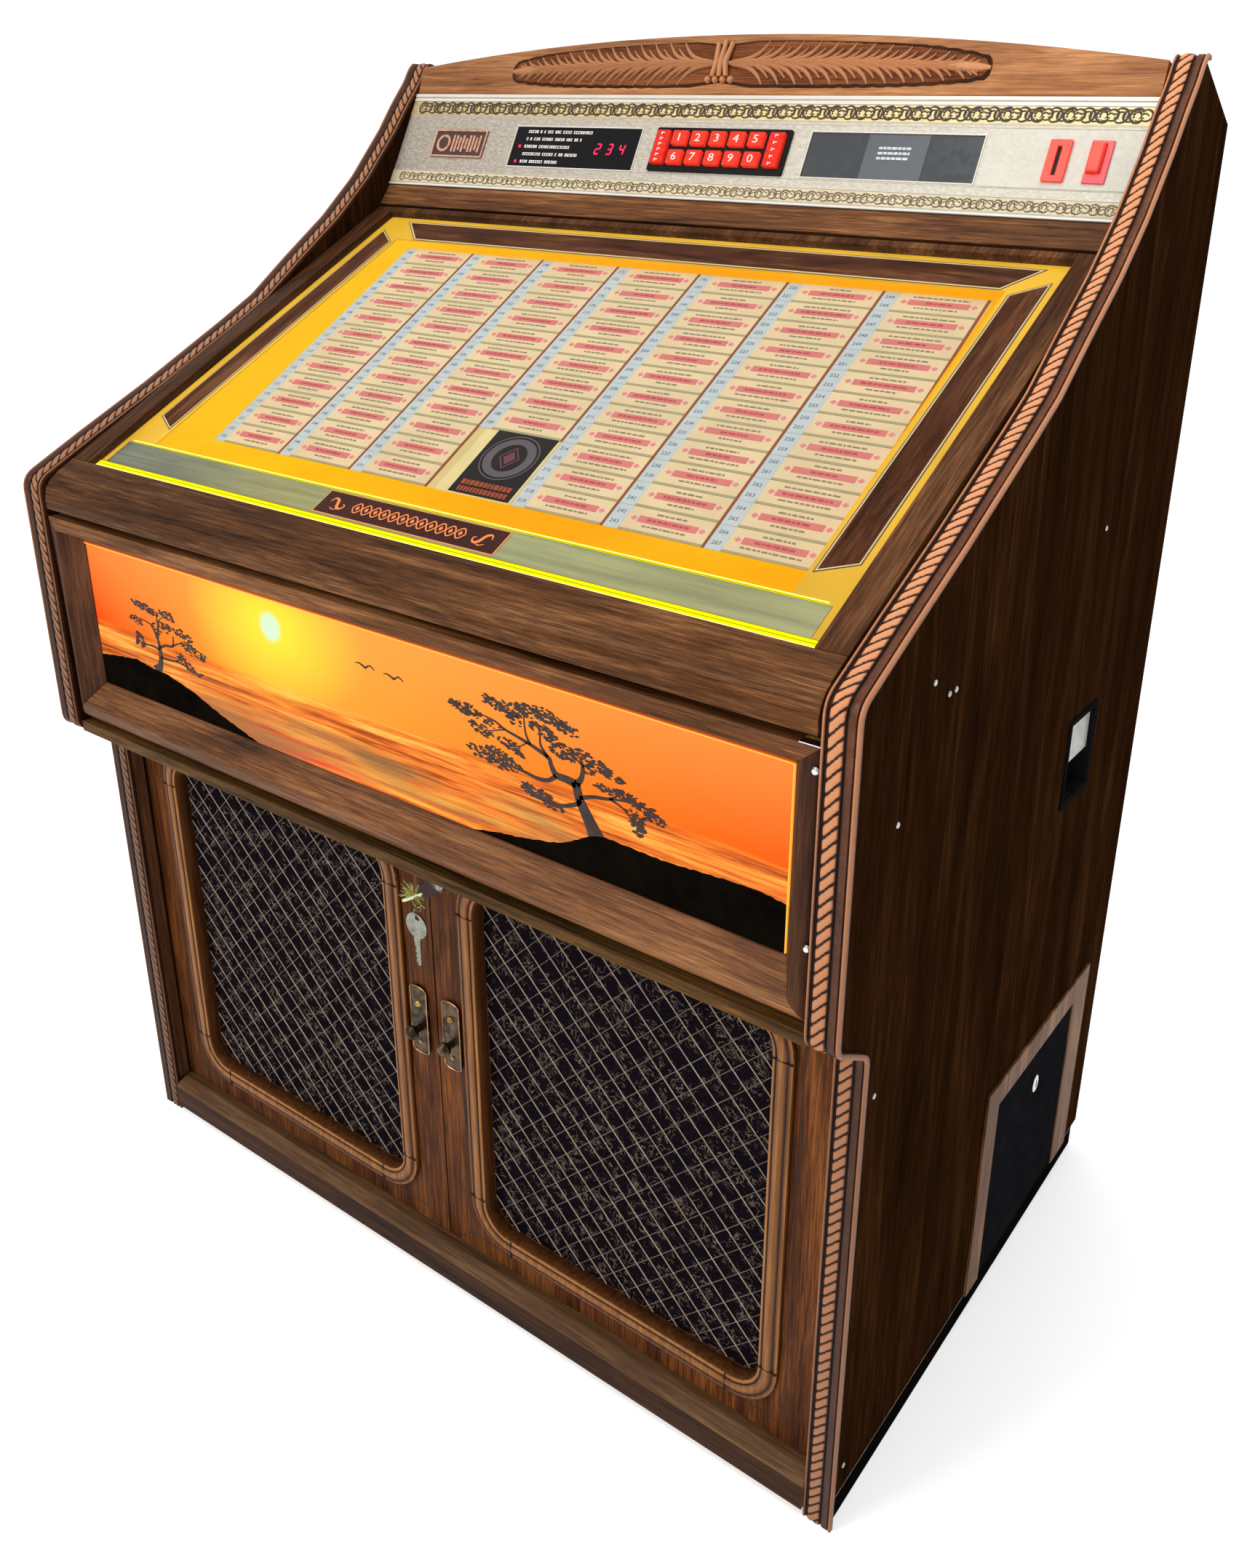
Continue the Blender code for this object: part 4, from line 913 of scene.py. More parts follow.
for x, z, rx, rz, n in ((-0.3720, 0.7090, 0.011, 0.0052, 26), (-0.3540, 0.7265, 0.013, 0.0042, 30),
                        (-0.3690, 0.7270, 0.009, 0.0030, 14), (-0.3400, 0.7245, 0.012, 0.0045, 26),
                        (-0.3150, 0.7250, 0.014, 0.0052, 34), (-0.3230, 0.7110, 0.012, 0.0060, 34),
                        (-0.3360, 0.7060, 0.008, 0.0060, 18), (-0.2950, 0.7110, 0.013, 0.0050, 30),
                        (-0.2830, 0.7080, 0.008, 0.0040, 14), (-0.3720, 0.6910, 0.010, 0.0040, 22),
                        (-0.3700, 0.6820, 0.009, 0.0042, 24), (-0.2830, 0.6960, 0.014, 0.0062, 34),
                        (-0.2650, 0.6920, 0.010, 0.0050, 20), (-0.2940, 0.6800, 0.010, 0.0038, 20),
                        (-0.2850, 0.6735, 0.012, 0.0045, 24), (-0.2690, 0.6700, 0.006, 0.0035, 12),
                        (-0.3000, 0.6870, 0.008, 0.0030, 8)):
    clump(b, x, z, rx, rz, n, 0.0022)
# Right tree.
stroke(b, [(0.2580, 0.6560), (0.2500, 0.6700), (0.2408, 0.6850), (0.2375, 0.6950), (0.2361, 0.7010)],
       [0.0175, 0.0125, 0.0096, 0.0090, 0.0098])
stroke(b, [(0.2365, 0.6995), (0.2260, 0.7008), (0.2147, 0.7016), (0.2095, 0.7090), (0.2062, 0.7151), (0.1871, 0.7213)],
       [0.0082, 0.0070, 0.0062, 0.0046, 0.0042, 0.0030])
stroke(b, [(0.2062, 0.7151), (0.1985, 0.7240), (0.1978, 0.7338), (0.1950, 0.7430)], [0.0032, 0.0022, 0.0016, 0.0008])
stroke(b, [(0.1871, 0.7213), (0.1720, 0.7245), (0.1584, 0.7272), (0.1453, 0.7322), (0.1237, 0.7345)],
       [0.0032, 0.0026, 0.0020, 0.0015, 0.0007])
stroke(b, [(0.1871, 0.7213), (0.1822, 0.7295), (0.1804, 0.7430), (0.1810, 0.7510)], [0.0026, 0.0018, 0.0013, 0.0007])
stroke(b, [(0.1584, 0.7272), (0.1460, 0.7230), (0.1337, 0.7190)], [0.0014, 0.0010, 0.0006])
stroke(b, [(0.1840, 0.7225), (0.1740, 0.7160), (0.1632, 0.7150)], [0.0014, 0.0012, 0.0007])
stroke(b, [(0.2150, 0.7005), (0.2060, 0.6940), (0.1938, 0.6921), (0.1782, 0.6940), (0.1600, 0.6945), (0.1432, 0.6925)],
       [0.0050, 0.0038, 0.0034, 0.0024, 0.0014, 0.0008])
stroke(b, [(0.1782, 0.6940), (0.1640, 0.7000), (0.1430, 0.7020)], [0.0020, 0.0012, 0.0007])
stroke(b, [(0.2370, 0.6995), (0.2425, 0.7070), (0.2438, 0.7176), (0.2405, 0.7260)], [0.0068, 0.0050, 0.0036, 0.0012])
stroke(b, [(0.2438, 0.7176), (0.2530, 0.7230), (0.2646, 0.7237)], [0.0020, 0.0014, 0.0007])
stroke(b, [(0.2430, 0.7190), (0.2330, 0.7240), (0.2204, 0.7255)], [0.0018, 0.0012, 0.0007])
stroke(b, [(0.2400, 0.6865), (0.2369, 0.6812), (0.2165, 0.6735), (0.2000, 0.6730), (0.1850, 0.6760)],
       [0.0058, 0.0042, 0.0030, 0.0016, 0.0008])
stroke(b, [(0.2400, 0.6880), (0.2550, 0.6935), (0.2716, 0.6968), (0.2836, 0.7050)], [0.0040, 0.0032, 0.0028, 0.0012])
stroke(b, [(0.2716, 0.6968), (0.2900, 0.7000), (0.3095, 0.7000), (0.3250, 0.6950)], [0.0022, 0.0016, 0.0012, 0.0006])
stroke(b, [(0.2730, 0.6965), (0.2850, 0.6930), (0.2931, 0.6868), (0.3040, 0.6790)], [0.0020, 0.0016, 0.0012, 0.0007])
for x, z, rx, rz, n in ((0.1150, 0.7345, 0.018, 0.0060, 60), (0.1000, 0.7350, 0.007, 0.0030, 14),
                        (0.1300, 0.7200, 0.015, 0.0050, 40), (0.1440, 0.7280, 0.010, 0.0035, 16),
                        (0.1460, 0.7480, 0.015, 0.0050, 42), (0.1650, 0.7480, 0.016, 0.0060, 50),
                        (0.1860, 0.7510, 0.016, 0.0065, 50), (0.2060, 0.7520, 0.018, 0.0062, 58),
                        (0.2260, 0.7470, 0.014, 0.0055, 40), (0.2000, 0.7380, 0.014, 0.0055, 36),
                        (0.2140, 0.7320, 0.012, 0.0045, 26), (0.1700, 0.7380, 0.009, 0.0050, 16),
                        (0.1620, 0.7150, 0.013, 0.0042, 32), (0.1720, 0.7090, 0.007, 0.0030, 8),
                        (0.1280, 0.6975, 0.014, 0.0055, 44), (0.1500, 0.7010, 0.016, 0.0065, 54),
                        (0.1640, 0.6960, 0.013, 0.0050, 34), (0.1480, 0.6920, 0.012, 0.0040, 20),
                        (0.2230, 0.7240, 0.014, 0.0062, 46), (0.2420, 0.7280, 0.013, 0.0050, 36),
                        (0.2620, 0.7220, 0.014, 0.0056, 42), (0.2760, 0.7170, 0.010, 0.0040, 20),
                        (0.2500, 0.7150, 0.009, 0.0035, 12), (0.1860, 0.6790, 0.013, 0.0052, 44),
                        (0.1990, 0.6770, 0.013, 0.0056, 44), (0.2110, 0.6720, 0.012, 0.0050, 30),
                        (0.2660, 0.7045, 0.012, 0.0034, 26), (0.2900, 0.7040, 0.013, 0.0045, 36),
                        (0.3060, 0.6990, 0.014, 0.0052, 40), (0.3200, 0.6930, 0.011, 0.0045, 28),
                        (0.2990, 0.6905, 0.010, 0.0035, 18), (0.3030, 0.6790, 0.007, 0.0075, 34),
                        (0.2980, 0.6850, 0.008, 0.0035, 16)):
    clump(b, x, z, rx, rz, n, 0.0023)
# Birds.
for x, z, k in ((-0.0130, 0.7421, 1.0), (0.0242, 0.7402, 1.0)):
    stroke(b, [(x - 0.0135, z + 0.0012), (x - 0.0080, z + 0.0020), (x, z - 0.0008)], [0.0006, 0.0013, 0.0022])
    stroke(b, [(x, z - 0.0008), (x + 0.0060, z + 0.0026), (x + 0.0120, z - 0.0004)], [0.0022, 0.0013, 0.0006])
b.obj("picture_trees", SHADE, "cabinet", flat=True)


def ragged(pts, amp, step=0.004):
    out = []
    for p, q in zip(pts[:-1], pts[1:]):
        n = max(1, int(math.hypot(q[0] - p[0], q[1] - p[1]) / step))
        for i in range(n):
            t = i / n
            out.append((p[0] + (q[0] - p[0]) * t, p[1] + (q[1] - p[1]) * t + rng.uniform(-amp, amp)))
    return out + [pts[-1]]


b = Build()
b.prism(ragged([(-0.4515, 0.6520), (-0.4414, 0.6535), (-0.3821, 0.6614), (-0.3561, 0.6579), (-0.3299, 0.6570),
                (-0.2876, 0.6483), (-0.2474, 0.6349), (-0.2076, 0.6242), (-0.1816, 0.6173), (-0.1640, 0.6135)], 0.0005)
        + [(-0.4515, 0.6135)], PD0, PD1 + 0.0001, XZ)
b.prism(ragged([(0.0950, 0.6135), (0.1067, 0.6164), (0.1397, 0.6237), (0.1784, 0.6296), (0.2182, 0.6385),
                (0.2415, 0.6506), (0.2516, 0.6562), (0.2665, 0.6600), (0.2931, 0.6593), (0.3284, 0.6587),
                (0.3885, 0.6631), (0.4200, 0.6640), (0.4515, 0.6600)], 0.0005) + [(0.4515, 0.6135)],
        PD0, PD1 + 0.0001, XZ)
b.obj("picture_hills", HILL, "cabinet", flat=True)
# Bright refracted edge of the acrylic along its top and right side.
b = Build()
b.box((-0.4458, -0.3226, 0.7790), (0.4458, -0.3203, 0.7803))
b.box((0.4440, -0.3226, 0.6200), (0.4452, -0.3203, 0.7803))
b.obj("picture_edge_glow", glow("acrylic_edge_light", "ffb23c", 0.8, 0.3), "cabinet")
b = Build()
b.box((-0.4458, -0.3228, 0.7804), (0.4458, -0.3203, 0.7818))
b.obj("picture_edge_shadow", glow("acrylic_edge_amber", "d9590c", 0.5, 0.3), "cabinet")

# ============================================================ lid and titles
SLOPE_TURN = (-math.atan2(0.2465, 0.4323), 0, 0)
LID_SIDE = wood("lid_side_wood", "2a180f", "4e3526", "785a44", "y", 0.5, 0.6, 1.2, seed=21, turn=SLOPE_TURN, spec=0.05, light_fade=(0.8, 1.25))
paint("lid_frame", LID_SIDE, 0.0008)
paint("lid_front_rail", RAIL_X, 0.0004, 1)
w = Mat("clear_glass", 0.04, Alpha=0.03, IOR=1.5)
w.link(w.ramp(w.noise(w.coords(), 6, 2), [(0.3, (0.04, 0.07, 0.06, 1)), (0.7, (0.07, 0.10, 0.09, 1))]), "Base Color")
GLASS = w.m
paint("lid_glass", GLASS)
TITLE_GROUND = glow("title_ground", "e9cf8c", 0.25, 0.6)
paint("title_board", TITLE_GROUND)
YEL = glow("printed_yellow", "f6bf2e", 0.40, 0.35, 0.20, 9)
w = Mat("amber_bezel", 0.6, Specular_IOR_Level=0.0)
ax = w.n("SeparateXYZ", {"Vector": w.coords()}).outputs["X"]
au = w.n("MapRange", {"Value": ax, "From Min": -0.44, "From Max": 0.44}).outputs[0]
ac = w.ramp(au, [(0.0, srgb("fcc81a")), (0.25, srgb("ffc000")), (0.6, srgb("ffa600")), (1.0, srgb("ffb200"))])
ac = w.mix(0.25, ac, w.ramp(w.noise(w.coords(), 7, 3), [(0.35, srgb("f08c00")), (0.65, srgb("ffc420"))]))
w.link(w.mix(1.0, ac, (0.22, 0.20, 0.05, 1), "MULTIPLY"), "Base Color")
w.link(ac, "Emission Color")
w.b.inputs["Emission Strength"].default_value = 0.85
AMBER = w.m
HOT = glow("lamp_yellow", "fdf000", 1.10, 0.4, 0.05, 30, 0.0, 0.2)
HOT_CORE = glow("lamp_core", "fff9b8", 1.2, 0.4, 0.05, 30, 0.0, 0.3)
OLIVE = glow("lamp_shadow", "8d8400", 0.35, 0.6, 0.2, 60, 0.0, 0.2)
INLAY = wood("printed_walnut", "2f1a12", "5a382b", "83604c", "x", 0.5, 0.6, 2.6, 0.0, seed=22, spec=0.0, dim=0.85)
INLAY_Y = wood("printed_walnut_side", "2f1a12", "5a382b", "83604c", "y", 0.5, 0.6, 2.6, 0.0, seed=23, turn=SLOPE_TURN, spec=0.0, dim=0.85)
CREAM_LINE = glow("cream_line", "f3d9a0", 0.25, 0.4)
DARK_LINE = speckled("dark_line", "4a2c12", "2e1a0a", 200, 0.4, 0, 0.5, 0.0)


def card(name, loop, d, mat, t=0.0005, body="lid", extra=None, flat=True):
    """Thin printed layer with its face at depth d below the glass plane; loop is (x, s)."""
    bb = Build()
    for l in ([loop] if extra is None else [loop] + extra):
        bb.prism([(x, -s) for x, s in l], -d - t, -d, LIDF)
    return bb.obj(name, mat, body, flat=flat)


def inset(loop, k):
    """Outline moved inwards by k (convex loops)."""
    n = len(loop)
    area = sum(loop[i][0] * loop[(i + 1) % n][1] - loop[(i + 1) % n][0] * loop[i][1] for i in range(n))
    if area < 0:
        loop = loop[::-1]
    lines = []
    for i in range(n):
        p, q = Vector(loop[i]), Vector(loop[(i + 1) % n])
        d = (q - p).normalized()
        nrm = Vector((-d.y, d.x))
        lines.append((p + nrm * k, d))
    out = []
    for i in range(n):
        (p, d), (q, e) = lines[i - 1], lines[i]
        cr = d.x * e.y - d.y * e.x
        t = ((q.x - p.x) * e.y - (q.y - p.y) * e.x) / cr if abs(cr) > 1e-9 else 0
        out.append(tuple(p + d * t))
    return out


b = Build()
ringed(b, [(x, -s) for x, s in rect(-0.4453, 0.4453, 0.0004, 0.4972)],
       [(x, -s) for x, s in rect(-0.3965, 0.3965, 0.0455, 0.4495)], -0.0065, -0.0050, LIDF)
b.obj("title_border_card", YEL, "lid")
b = Build()
o1 = [(-0.3967, -0.4497, -0.0060), (0.3967, -0.4497, -0.0060), (0.3967, -0.0453, -0.0060), (-0.3967, -0.0453, -0.0060)]
i1 = [(-0.3836, -0.3958, -0.0362), (0.3836, -0.3958, -0.0362), (0.3836, -0.0460, -0.0164), (-0.3836, -0.0460, -0.0164)]
b.loft([o1, i1, [(x, y, z - 0.0012) for x, y, z in i1],
        [(x + (0.0012 if x > 0 else -0.0012), y + (-0.0012 if y < -0.2 else 0.0012), z - 0.0012) for x, y, z in o1]],
       LIDF, False, True)
b.obj("title_bezel", AMBER, "lid", 20)
top = [(-0.4096, 0.0079), (0.4220, 0.0079), (0.3905, 0.0450), (-0.3676, 0.0450)]
side_l = [(-0.4346, 0.0280), (-0.4010, 0.0516), (-0.4010, 0.4230), (-0.4346, 0.4060)]
side_r = [(0.4346, 0.0280), (0.4010, 0.0516), (0.4010, 0.4230), (0.4346, 0.4060)]
card("inlay_line_dark", top, 0.0047, DARK_LINE, 0.0003, extra=[side_l, side_r])
card("inlay_line_cream", inset(top, 0.0010), 0.0046, CREAM_LINE, 0.0003, extra=[inset(side_l, 0.0010), inset(side_r, 0.0010)])
card("inlay_top", inset(top, 0.0028), 0.0045, INLAY, 0.0003)
card("inlay_sides", inset(side_l, 0.0024), 0.0045, INLAY_Y, 0.0003, extra=[inset(side_r, 0.0024)])
# The mirror strip's colour and faint glow are a painted reflection, darker at the left end and paler to the right.
w = Mat("mirror_strip", 0.22, 0.35)
sx = w.n("SeparateXYZ", {"Vector": w.coords()}).outputs["X"]
us = w.n("MapRange", {"Value": sx, "From Min": -0.436, "From Max": 0.436}).outputs[0]
cs = w.ramp(us, [(0.0, srgb("54605c")), (0.10, srgb("656a5a")), (0.3, srgb("8f8a55")), (0.6, srgb("9da070")), (1.0, srgb("8a8a60"))])
cs = w.mix(0.30, cs, w.ramp(w.noise(w.coords((2, 30, 30)), 4, 4), [(0.35, srgb("55563e")), (0.65, srgb("b4b078"))]))
w.link(cs, "Base Color")
w.link(cs, "Emission Color")
w.b.inputs["Emission Strength"].default_value = 0.09
card("mirror_strip", rect(-0.4360, 0.4340, 0.4512, 0.4856), 0.0044, w.m, 0.0006)
card("glow_band", rect(-0.4440, 0.4440, 0.4856, 0.4970), 0.0038, HOT, 0.0012)
card("glow_upper_line", rect(-0.4300, 0.4300, 0.4482, 0.4510), 0.0040, HOT, 0.0010)
card("glow_core_lines", rect(-0.4440, 0.4440, 0.4926, 0.4934), 0.0035, HOT_CORE, 0.0003,
     extra=[rect(-0.4300, 0.4300, 0.4490, 0.4494)])
card("glow_dark_lines", rect(-0.4440, 0.4440, 0.4856, 0.4859), 0.0035, OLIVE, 0.0003,
     extra=[rect(-0.4440, 0.4440, 0.4893, 0.4896), rect(-0.4440, 0.4440, 0.4963, 0.4967), rect(-0.4300, 0.4300, 0.4507, 0.4510)])
card("plate_edge", rect(-0.1095, 0.1202, 0.4530, 0.4830), 0.0036, glow("plate_edge_orange", "f0a060", 0.45, 0.4), 0.0010)
card("plate_inner_edge", rect(-0.1083, 0.1190, 0.4541, 0.4819), 0.0034, speckled("plate_ground", "3a1506", "220a03", 200, 0.3, 0, 0.5, 0.0, Specular_IOR_Level=0.1), 0.0006)
# A running scroll between two flourishes; it spells nothing.
b = Build()
yc = -0.4680
for ph in (0.0, math.pi):
    n = 72
    stroke(b, [(-0.0660 + 0.1430 * i / n, yc + 0.0062 * math.sin(2 * math.pi * i / 12 + ph)) for i in range(n + 1)],
           [0.0013] * (n + 1), LIDF, -0.0034, -0.0031 if ph else -0.00315)
for i in range(12):
    cx = -0.0660 + 0.1430 * (i + 0.5) / 12
    b.prism([(cx - 0.0022, yc), (cx, yc - 0.0030), (cx + 0.0022, yc), (cx, yc + 0.0030)], -0.0034, -0.0031, LIDF)
for k, cx in ((1, -0.0870), (-1, 0.0975)):
    stroke(b, [(cx - k * 0.0100, yc + 0.0010), (cx - k * 0.0075, yc + 0.0058), (cx - k * 0.0020, yc + 0.0040), (cx + k * 0.0020, yc - 0.0040),
               (cx + k * 0.0075, yc - 0.0058), (cx + k * 0.0102, yc - 0.0012), (cx + k * 0.0070, yc + 0.0004)],
           [0.0008, 0.0016, 0.0030, 0.0034, 0.0020, 0.0014, 0.0006], LIDF, -0.0034, -0.0031)
    stroke(b, [(cx - k * 0.0060, yc - 0.0058), (cx - k * 0.0010, yc - 0.0080), (cx + k * 0.0040, yc - 0.0070)], [0.0004, 0.0012, 0.0004], LIDF, -0.0034, -0.0031)
b.obj("plate_marks", glow("plate_mark_orange", "f08850", 0.55), "lid", flat=True)

# Title strips on the sloping board.
TBF = LIDF @ basis((0, -0.015, -0.015), (1, 0, 0), (0, 0.441, 0.025))
COLW, ROWH, B0 = 0.1090, 0.02920, 0.03105
cream, pale, pink, ptext, gtext, band, red, dig, dia = (Build() for _ in range(9))
for c in range(7):
    x0 = -0.3815 + COLW * c
    for r in range(12):
        if c == 3 and r > 8:
            continue
        y1 = -(B0 + ROWH * r)
        y0 = y1 - ROWH
        pale.box((x0, y0 + 0.0003, 0.0), (x0 + 0.0166, y1 - 0.0003, 0.0006), TBF)
        cream.box((x0 + 0.0169, y0 + 0.0030, 0.0), (x0 + 0.1058, y1 - 0.0003, 0.0008), TBF)
        band.box((x0 + 0.0169, y0 + 0.0003, 0.0), (x0 + 0.1058, y0 + 0.0028, 0.0007), TBF)
        n1 = 100 + (c * 24 + r * 2)
        number(dig, str(n1), TBF, x0 + 0.0083, y1 - 0.0080, 0.0042, 0.0006, 0.0008)
        number(dig, str(n1 + 1), TBF, x0 + 0.0083, y1 - 0.0208, 0.0042, 0.0006, 0.0008)
        ym = (y1 + y0 + 0.003) / 2
        pink.box((x0 + 0.0300, ym - 0.0038, 0.0008), (x0 + 0.0930, ym + 0.0038, 0.0010), TBF)
        for xd in (x0 + 0.0252, x0 + 0.0978):
            dia.prism([(xd - 0.0036, ym), (xd, ym - 0.0030), (xd + 0.0036, ym), (xd, ym + 0.0030)], 0.0008, 0.0010, TBF)

        def words(bb, y, h, lo, hi, z, dens):
            mid_w = rng.uniform(lo, hi)
            x = x0 + 0.0615 - mid_w / 2
            end = x + mid_w
            while x < end:
                l = min(rng.uniform(0.0022, 0.0080), end - x)
                if l > 0.0008:
                    bb.box((x, y - h, z), (x + l, y + h, z + 0.00015), TBF)
                    k = x + 0.0010
                    while k < x + l - 0.0008 and rng.random() < dens:
                        bb.box((k, y + h - 0.0002, z), (k + 0.0005, y + h + 0.0006, z + 0.00015), TBF)
                        k += rng.uniform(0.0012, 0.0022)
                x += l + 0.0013

        words(gtext, ym + 0.0078, 0.0009, 0.024, 0.060, 0.0008, 0.8)
        words(gtext, ym - 0.0076, 0.0009, 0.024, 0.060, 0.0008, 0.8)
        words(ptext, ym, 0.0012, 0.026, 0.052, 0.0010, 0.8)
    last = 9 if c == 3 else 12
    red.box((x0 + 0.1062, -(B0 + ROWH * last), 0.0), (x0 + 0.1086, -B0, 0.0009), TBF)
pale.obj("number_strips", glow("number_strip", "ccd6d6", 0.28, 0.5), "lid", flat=True)
cream.obj("title_strips", glow("title_strip", "eed4a6", 0.33, 0.5, 0.1, 18), "lid", flat=True)
band.obj("title_strip_edges", glow("strip_edge", "b9b184", 0.22, 0.5), "lid", flat=True)
pink.obj("label_boxes", glow("label_pink", "df7f7a", 0.34, 0.5), "lid", flat=True)
dia.obj("label_diamonds", glow("diamond_pink", "ee8f8f", 0.30, 0.5), "lid", flat=True)
ptext.obj("label_marks", speckled("label_mark_red", "a83a3c", "8c2c30", 300, 0.6, 0, 0.5, 0), "lid", flat=True)
gtext.obj("title_marks", speckled("title_mark_grey", "7c7058", "665b45", 300, 0.6, 0, 0.5, 0), "lid", flat=True)
dig.obj("selection_numbers", speckled("number_grey", "5e6468", "4a5054", 300, 0.6, 0, 0.5, 0), "lid", flat=True)
red.obj("column_rails", glow("column_rail", "a5592f", 0.2, 0.5), "lid", flat=True)
# Emblem card below the middle column: plain medallion with leaves.
b = Build()
b.box((-0.0430, -0.3860, 0.0), (0.0530, -0.2955, 0.0006), TBF)
b.obj("emblem_border", glow("emblem_cream", "f2dc9c", 0.3, 0.5), "lid")
b = Build()
b.box((-0.0265, -0.3800, 0.0006), (0.0505, -0.2940, 0.0010), TBF)
b.obj("emblem_ground", speckled("emblem_card_ink", "1c1413", "0d0909", 200, 0.35, 0, 0.5, 0.0, Specular_IOR_Level=0.1), "lid")
ex, ey = 0.0120, -0.3270


def oval(rx, ry, n=48):
    return [(ex + rx * math.cos(2 * math.pi * i / n), ey + ry * math.sin(2 * math.pi * i / n)) for i in range(n)]


b = Build()
ringed(b, oval(0.0330, 0.0300), oval(0.0316, 0.0286), 0.0010, 0.0013, TBF)
ringed(b, oval(0.0290, 0.0262), oval(0.0190, 0.0186), 0.0010, 0.0012, TBF)
b.obj("emblem_oval", glow("emblem_grey_violet", "6e6468", 0.12, 0.5), "lid", flat=True)
b = Build()
ringed(b, [(ex, ey + 0.0150), (ex - 0.0128, ey), (ex, ey - 0.0150), (ex + 0.0128, ey)],
       [(ex, ey + 0.0128), (ex - 0.0109, ey), (ex, ey - 0.0128), (ex + 0.0109, ey)], 0.0010, 0.0013, TBF)
b.prism([(ex, ey + 0.0090), (ex - 0.0076, ey), (ex, ey - 0.0090), (ex + 0.0076, ey)], 0.0010, 0.0012, TBF)
b.obj("emblem_lozenge", glow("emblem_plum", "7c4a52", 0.12, 0.5), "lid", flat=True)
b = Build()
for row, y in enumerate((-0.3655, -0.3742)):
    x = -0.0190 + row * 0.0010
    while x < 0.0430:
        l = rng.uniform(0.0026, 0.0052)
        b.box((x, y - 0.0030, 0.0010), (min(x + l, 0.0440), y + 0.0030, 0.0013), TBF)
        x += l + 0.0013
b.obj("emblem_ornament", glow("emblem_rust", "b4542e", 0.18, 0.5), "lid", flat=True)

# ================================================================== fascia
paint("control_fascia", FASCIA, 0.0004, 1)
b = Build()
for s0, s1, h in ((0.0002, 0.0046, 0.0013), (0.0056, 0.0096, 0.0009), (0.0283, 0.0291, 0.0006), (0.0316, 0.0322, 0.0005),
                  (0.0918, 0.0924, 0.0005), (0.1009, 0.1018, 0.0007), (0.1166, 0.1174, 0.0006), (0.1180, 0.1208, 0.0012)):
    b.prism([(-s0, 0.0), (-s1, 0.0), (-s1 + 0.0003, h), (-s0 - 0.0003, h)], -0.4764, 0.4764,
            FASF @ basis((0, 0, 0), (0, 1, 0), (0, 0, 1)))
b.obj("fascia_ridges", FASCIA_EDGE, "cabinet", flat=True)
w = Mat("gold_band_print", 0.42, 0.15)
gx = w.n("SeparateXYZ", {"Vector": w.coords()}).outputs["X"]
gu = w.n("MapRange", {"Value": gx, "From Min": -0.476, "From Max": 0.476}).outputs[0]
# Painted light: darker at the left end, paler to the right.
gc = w.ramp(gu, [(0.0, srgb("8f7a50")), (0.35, srgb("b89c62")), (0.7, srgb("d2b878")), (1.0, srgb("dcc68a"))])
gc = w.mix(0.25, gc, w.ramp(w.noise(w.coords(), 300, 3), [(0.3, srgb("a88a50")), (0.7, srgb("fff0c0"))]))
w.link(gc, "Base Color")
GOLDP = w.m
b = Build()
b.box((-0.4764, -0.0278, 0.0001), (0.4764, -0.0100, 0.0004), FASF)
b.obj("gold_band_upper", GOLDP, "cabinet", flat=True)
b = Build()
b.box((-0.4764, -0.1164, 0.0001), (0.4764, -0.1022, 0.0004), FASF)
b.obj("gold_band_lower", speckled("pale_band_print", "c9bd9f", "aa9b78", 300, 0.45, 0.1, 0.5, 0.05), "cabinet", flat=True)


def scroll(b, cx, cy, k, h, wd, z0, z1, big):
    """One hand-drawn scroll: open ring, inner curl and three leaf lobes."""
    r = h * (0.46 if big else 0.36)
    pts = [(cx + k * r * math.cos(math.radians(a)), cy + r * math.sin(math.radians(a)))
           for a in (35, 80, 130, 180, 230, 280, 325)]
    stroke(b, pts, [wd * 0.5, wd, wd * 1.3, wd * 1.2, wd * 1.3, wd, wd * 0.5], FASF, z0, z1)
    if big:
        pts = [(cx + k * r * 0.50 * math.cos(math.radians(a)) - k * r * 0.05, cy + r * 0.50 * math.sin(math.radians(a)))
               for a in (-60, 0, 60, 120, 190)]
        stroke(b, pts, [wd * 0.4, wd * 0.8, wd, wd * 0.8, wd * 0.5], FASF, z0, z1)
        for a, l in ((20, 0.55), (-25, 0.6), (60, 0.45), (160, 0.35), (205, 0.35)):
            ca, sa = math.cos(math.radians(a)) * k, math.sin(math.radians(a))
            stroke(b, [(cx + ca * r * 0.35, cy + sa * r * 0.35), (cx + ca * r * (0.35 + l * 0.6), cy + sa * r * (0.30 + l * 0.6)),
                       (cx + ca * r * (0.40 + l), cy + sa * r * (0.25 + l))], [wd * 0.3, wd * 0.9, wd * 0.3], FASF, z0, z1)
    else:
        stroke(b, [(cx - k * r * 0.5, cy - r * 0.1), (cx, cy + r * 0.25), (cx + k * r * 0.7, cy + r * 0.45)],
               [wd * 0.4, wd, wd * 0.4], FASF, z0, z1)
        for q in (-1, 1):
            stroke(b, [(cx + k * r * 0.6, cy + q * r * 0.7), (cx + k * r * 1.25, cy + q * r * 1.05),
                       (cx + k * r * 1.75, cy + q * r * 0.75)], [wd * 0.4, wd, wd * 0.3], FASF, z0, z1)


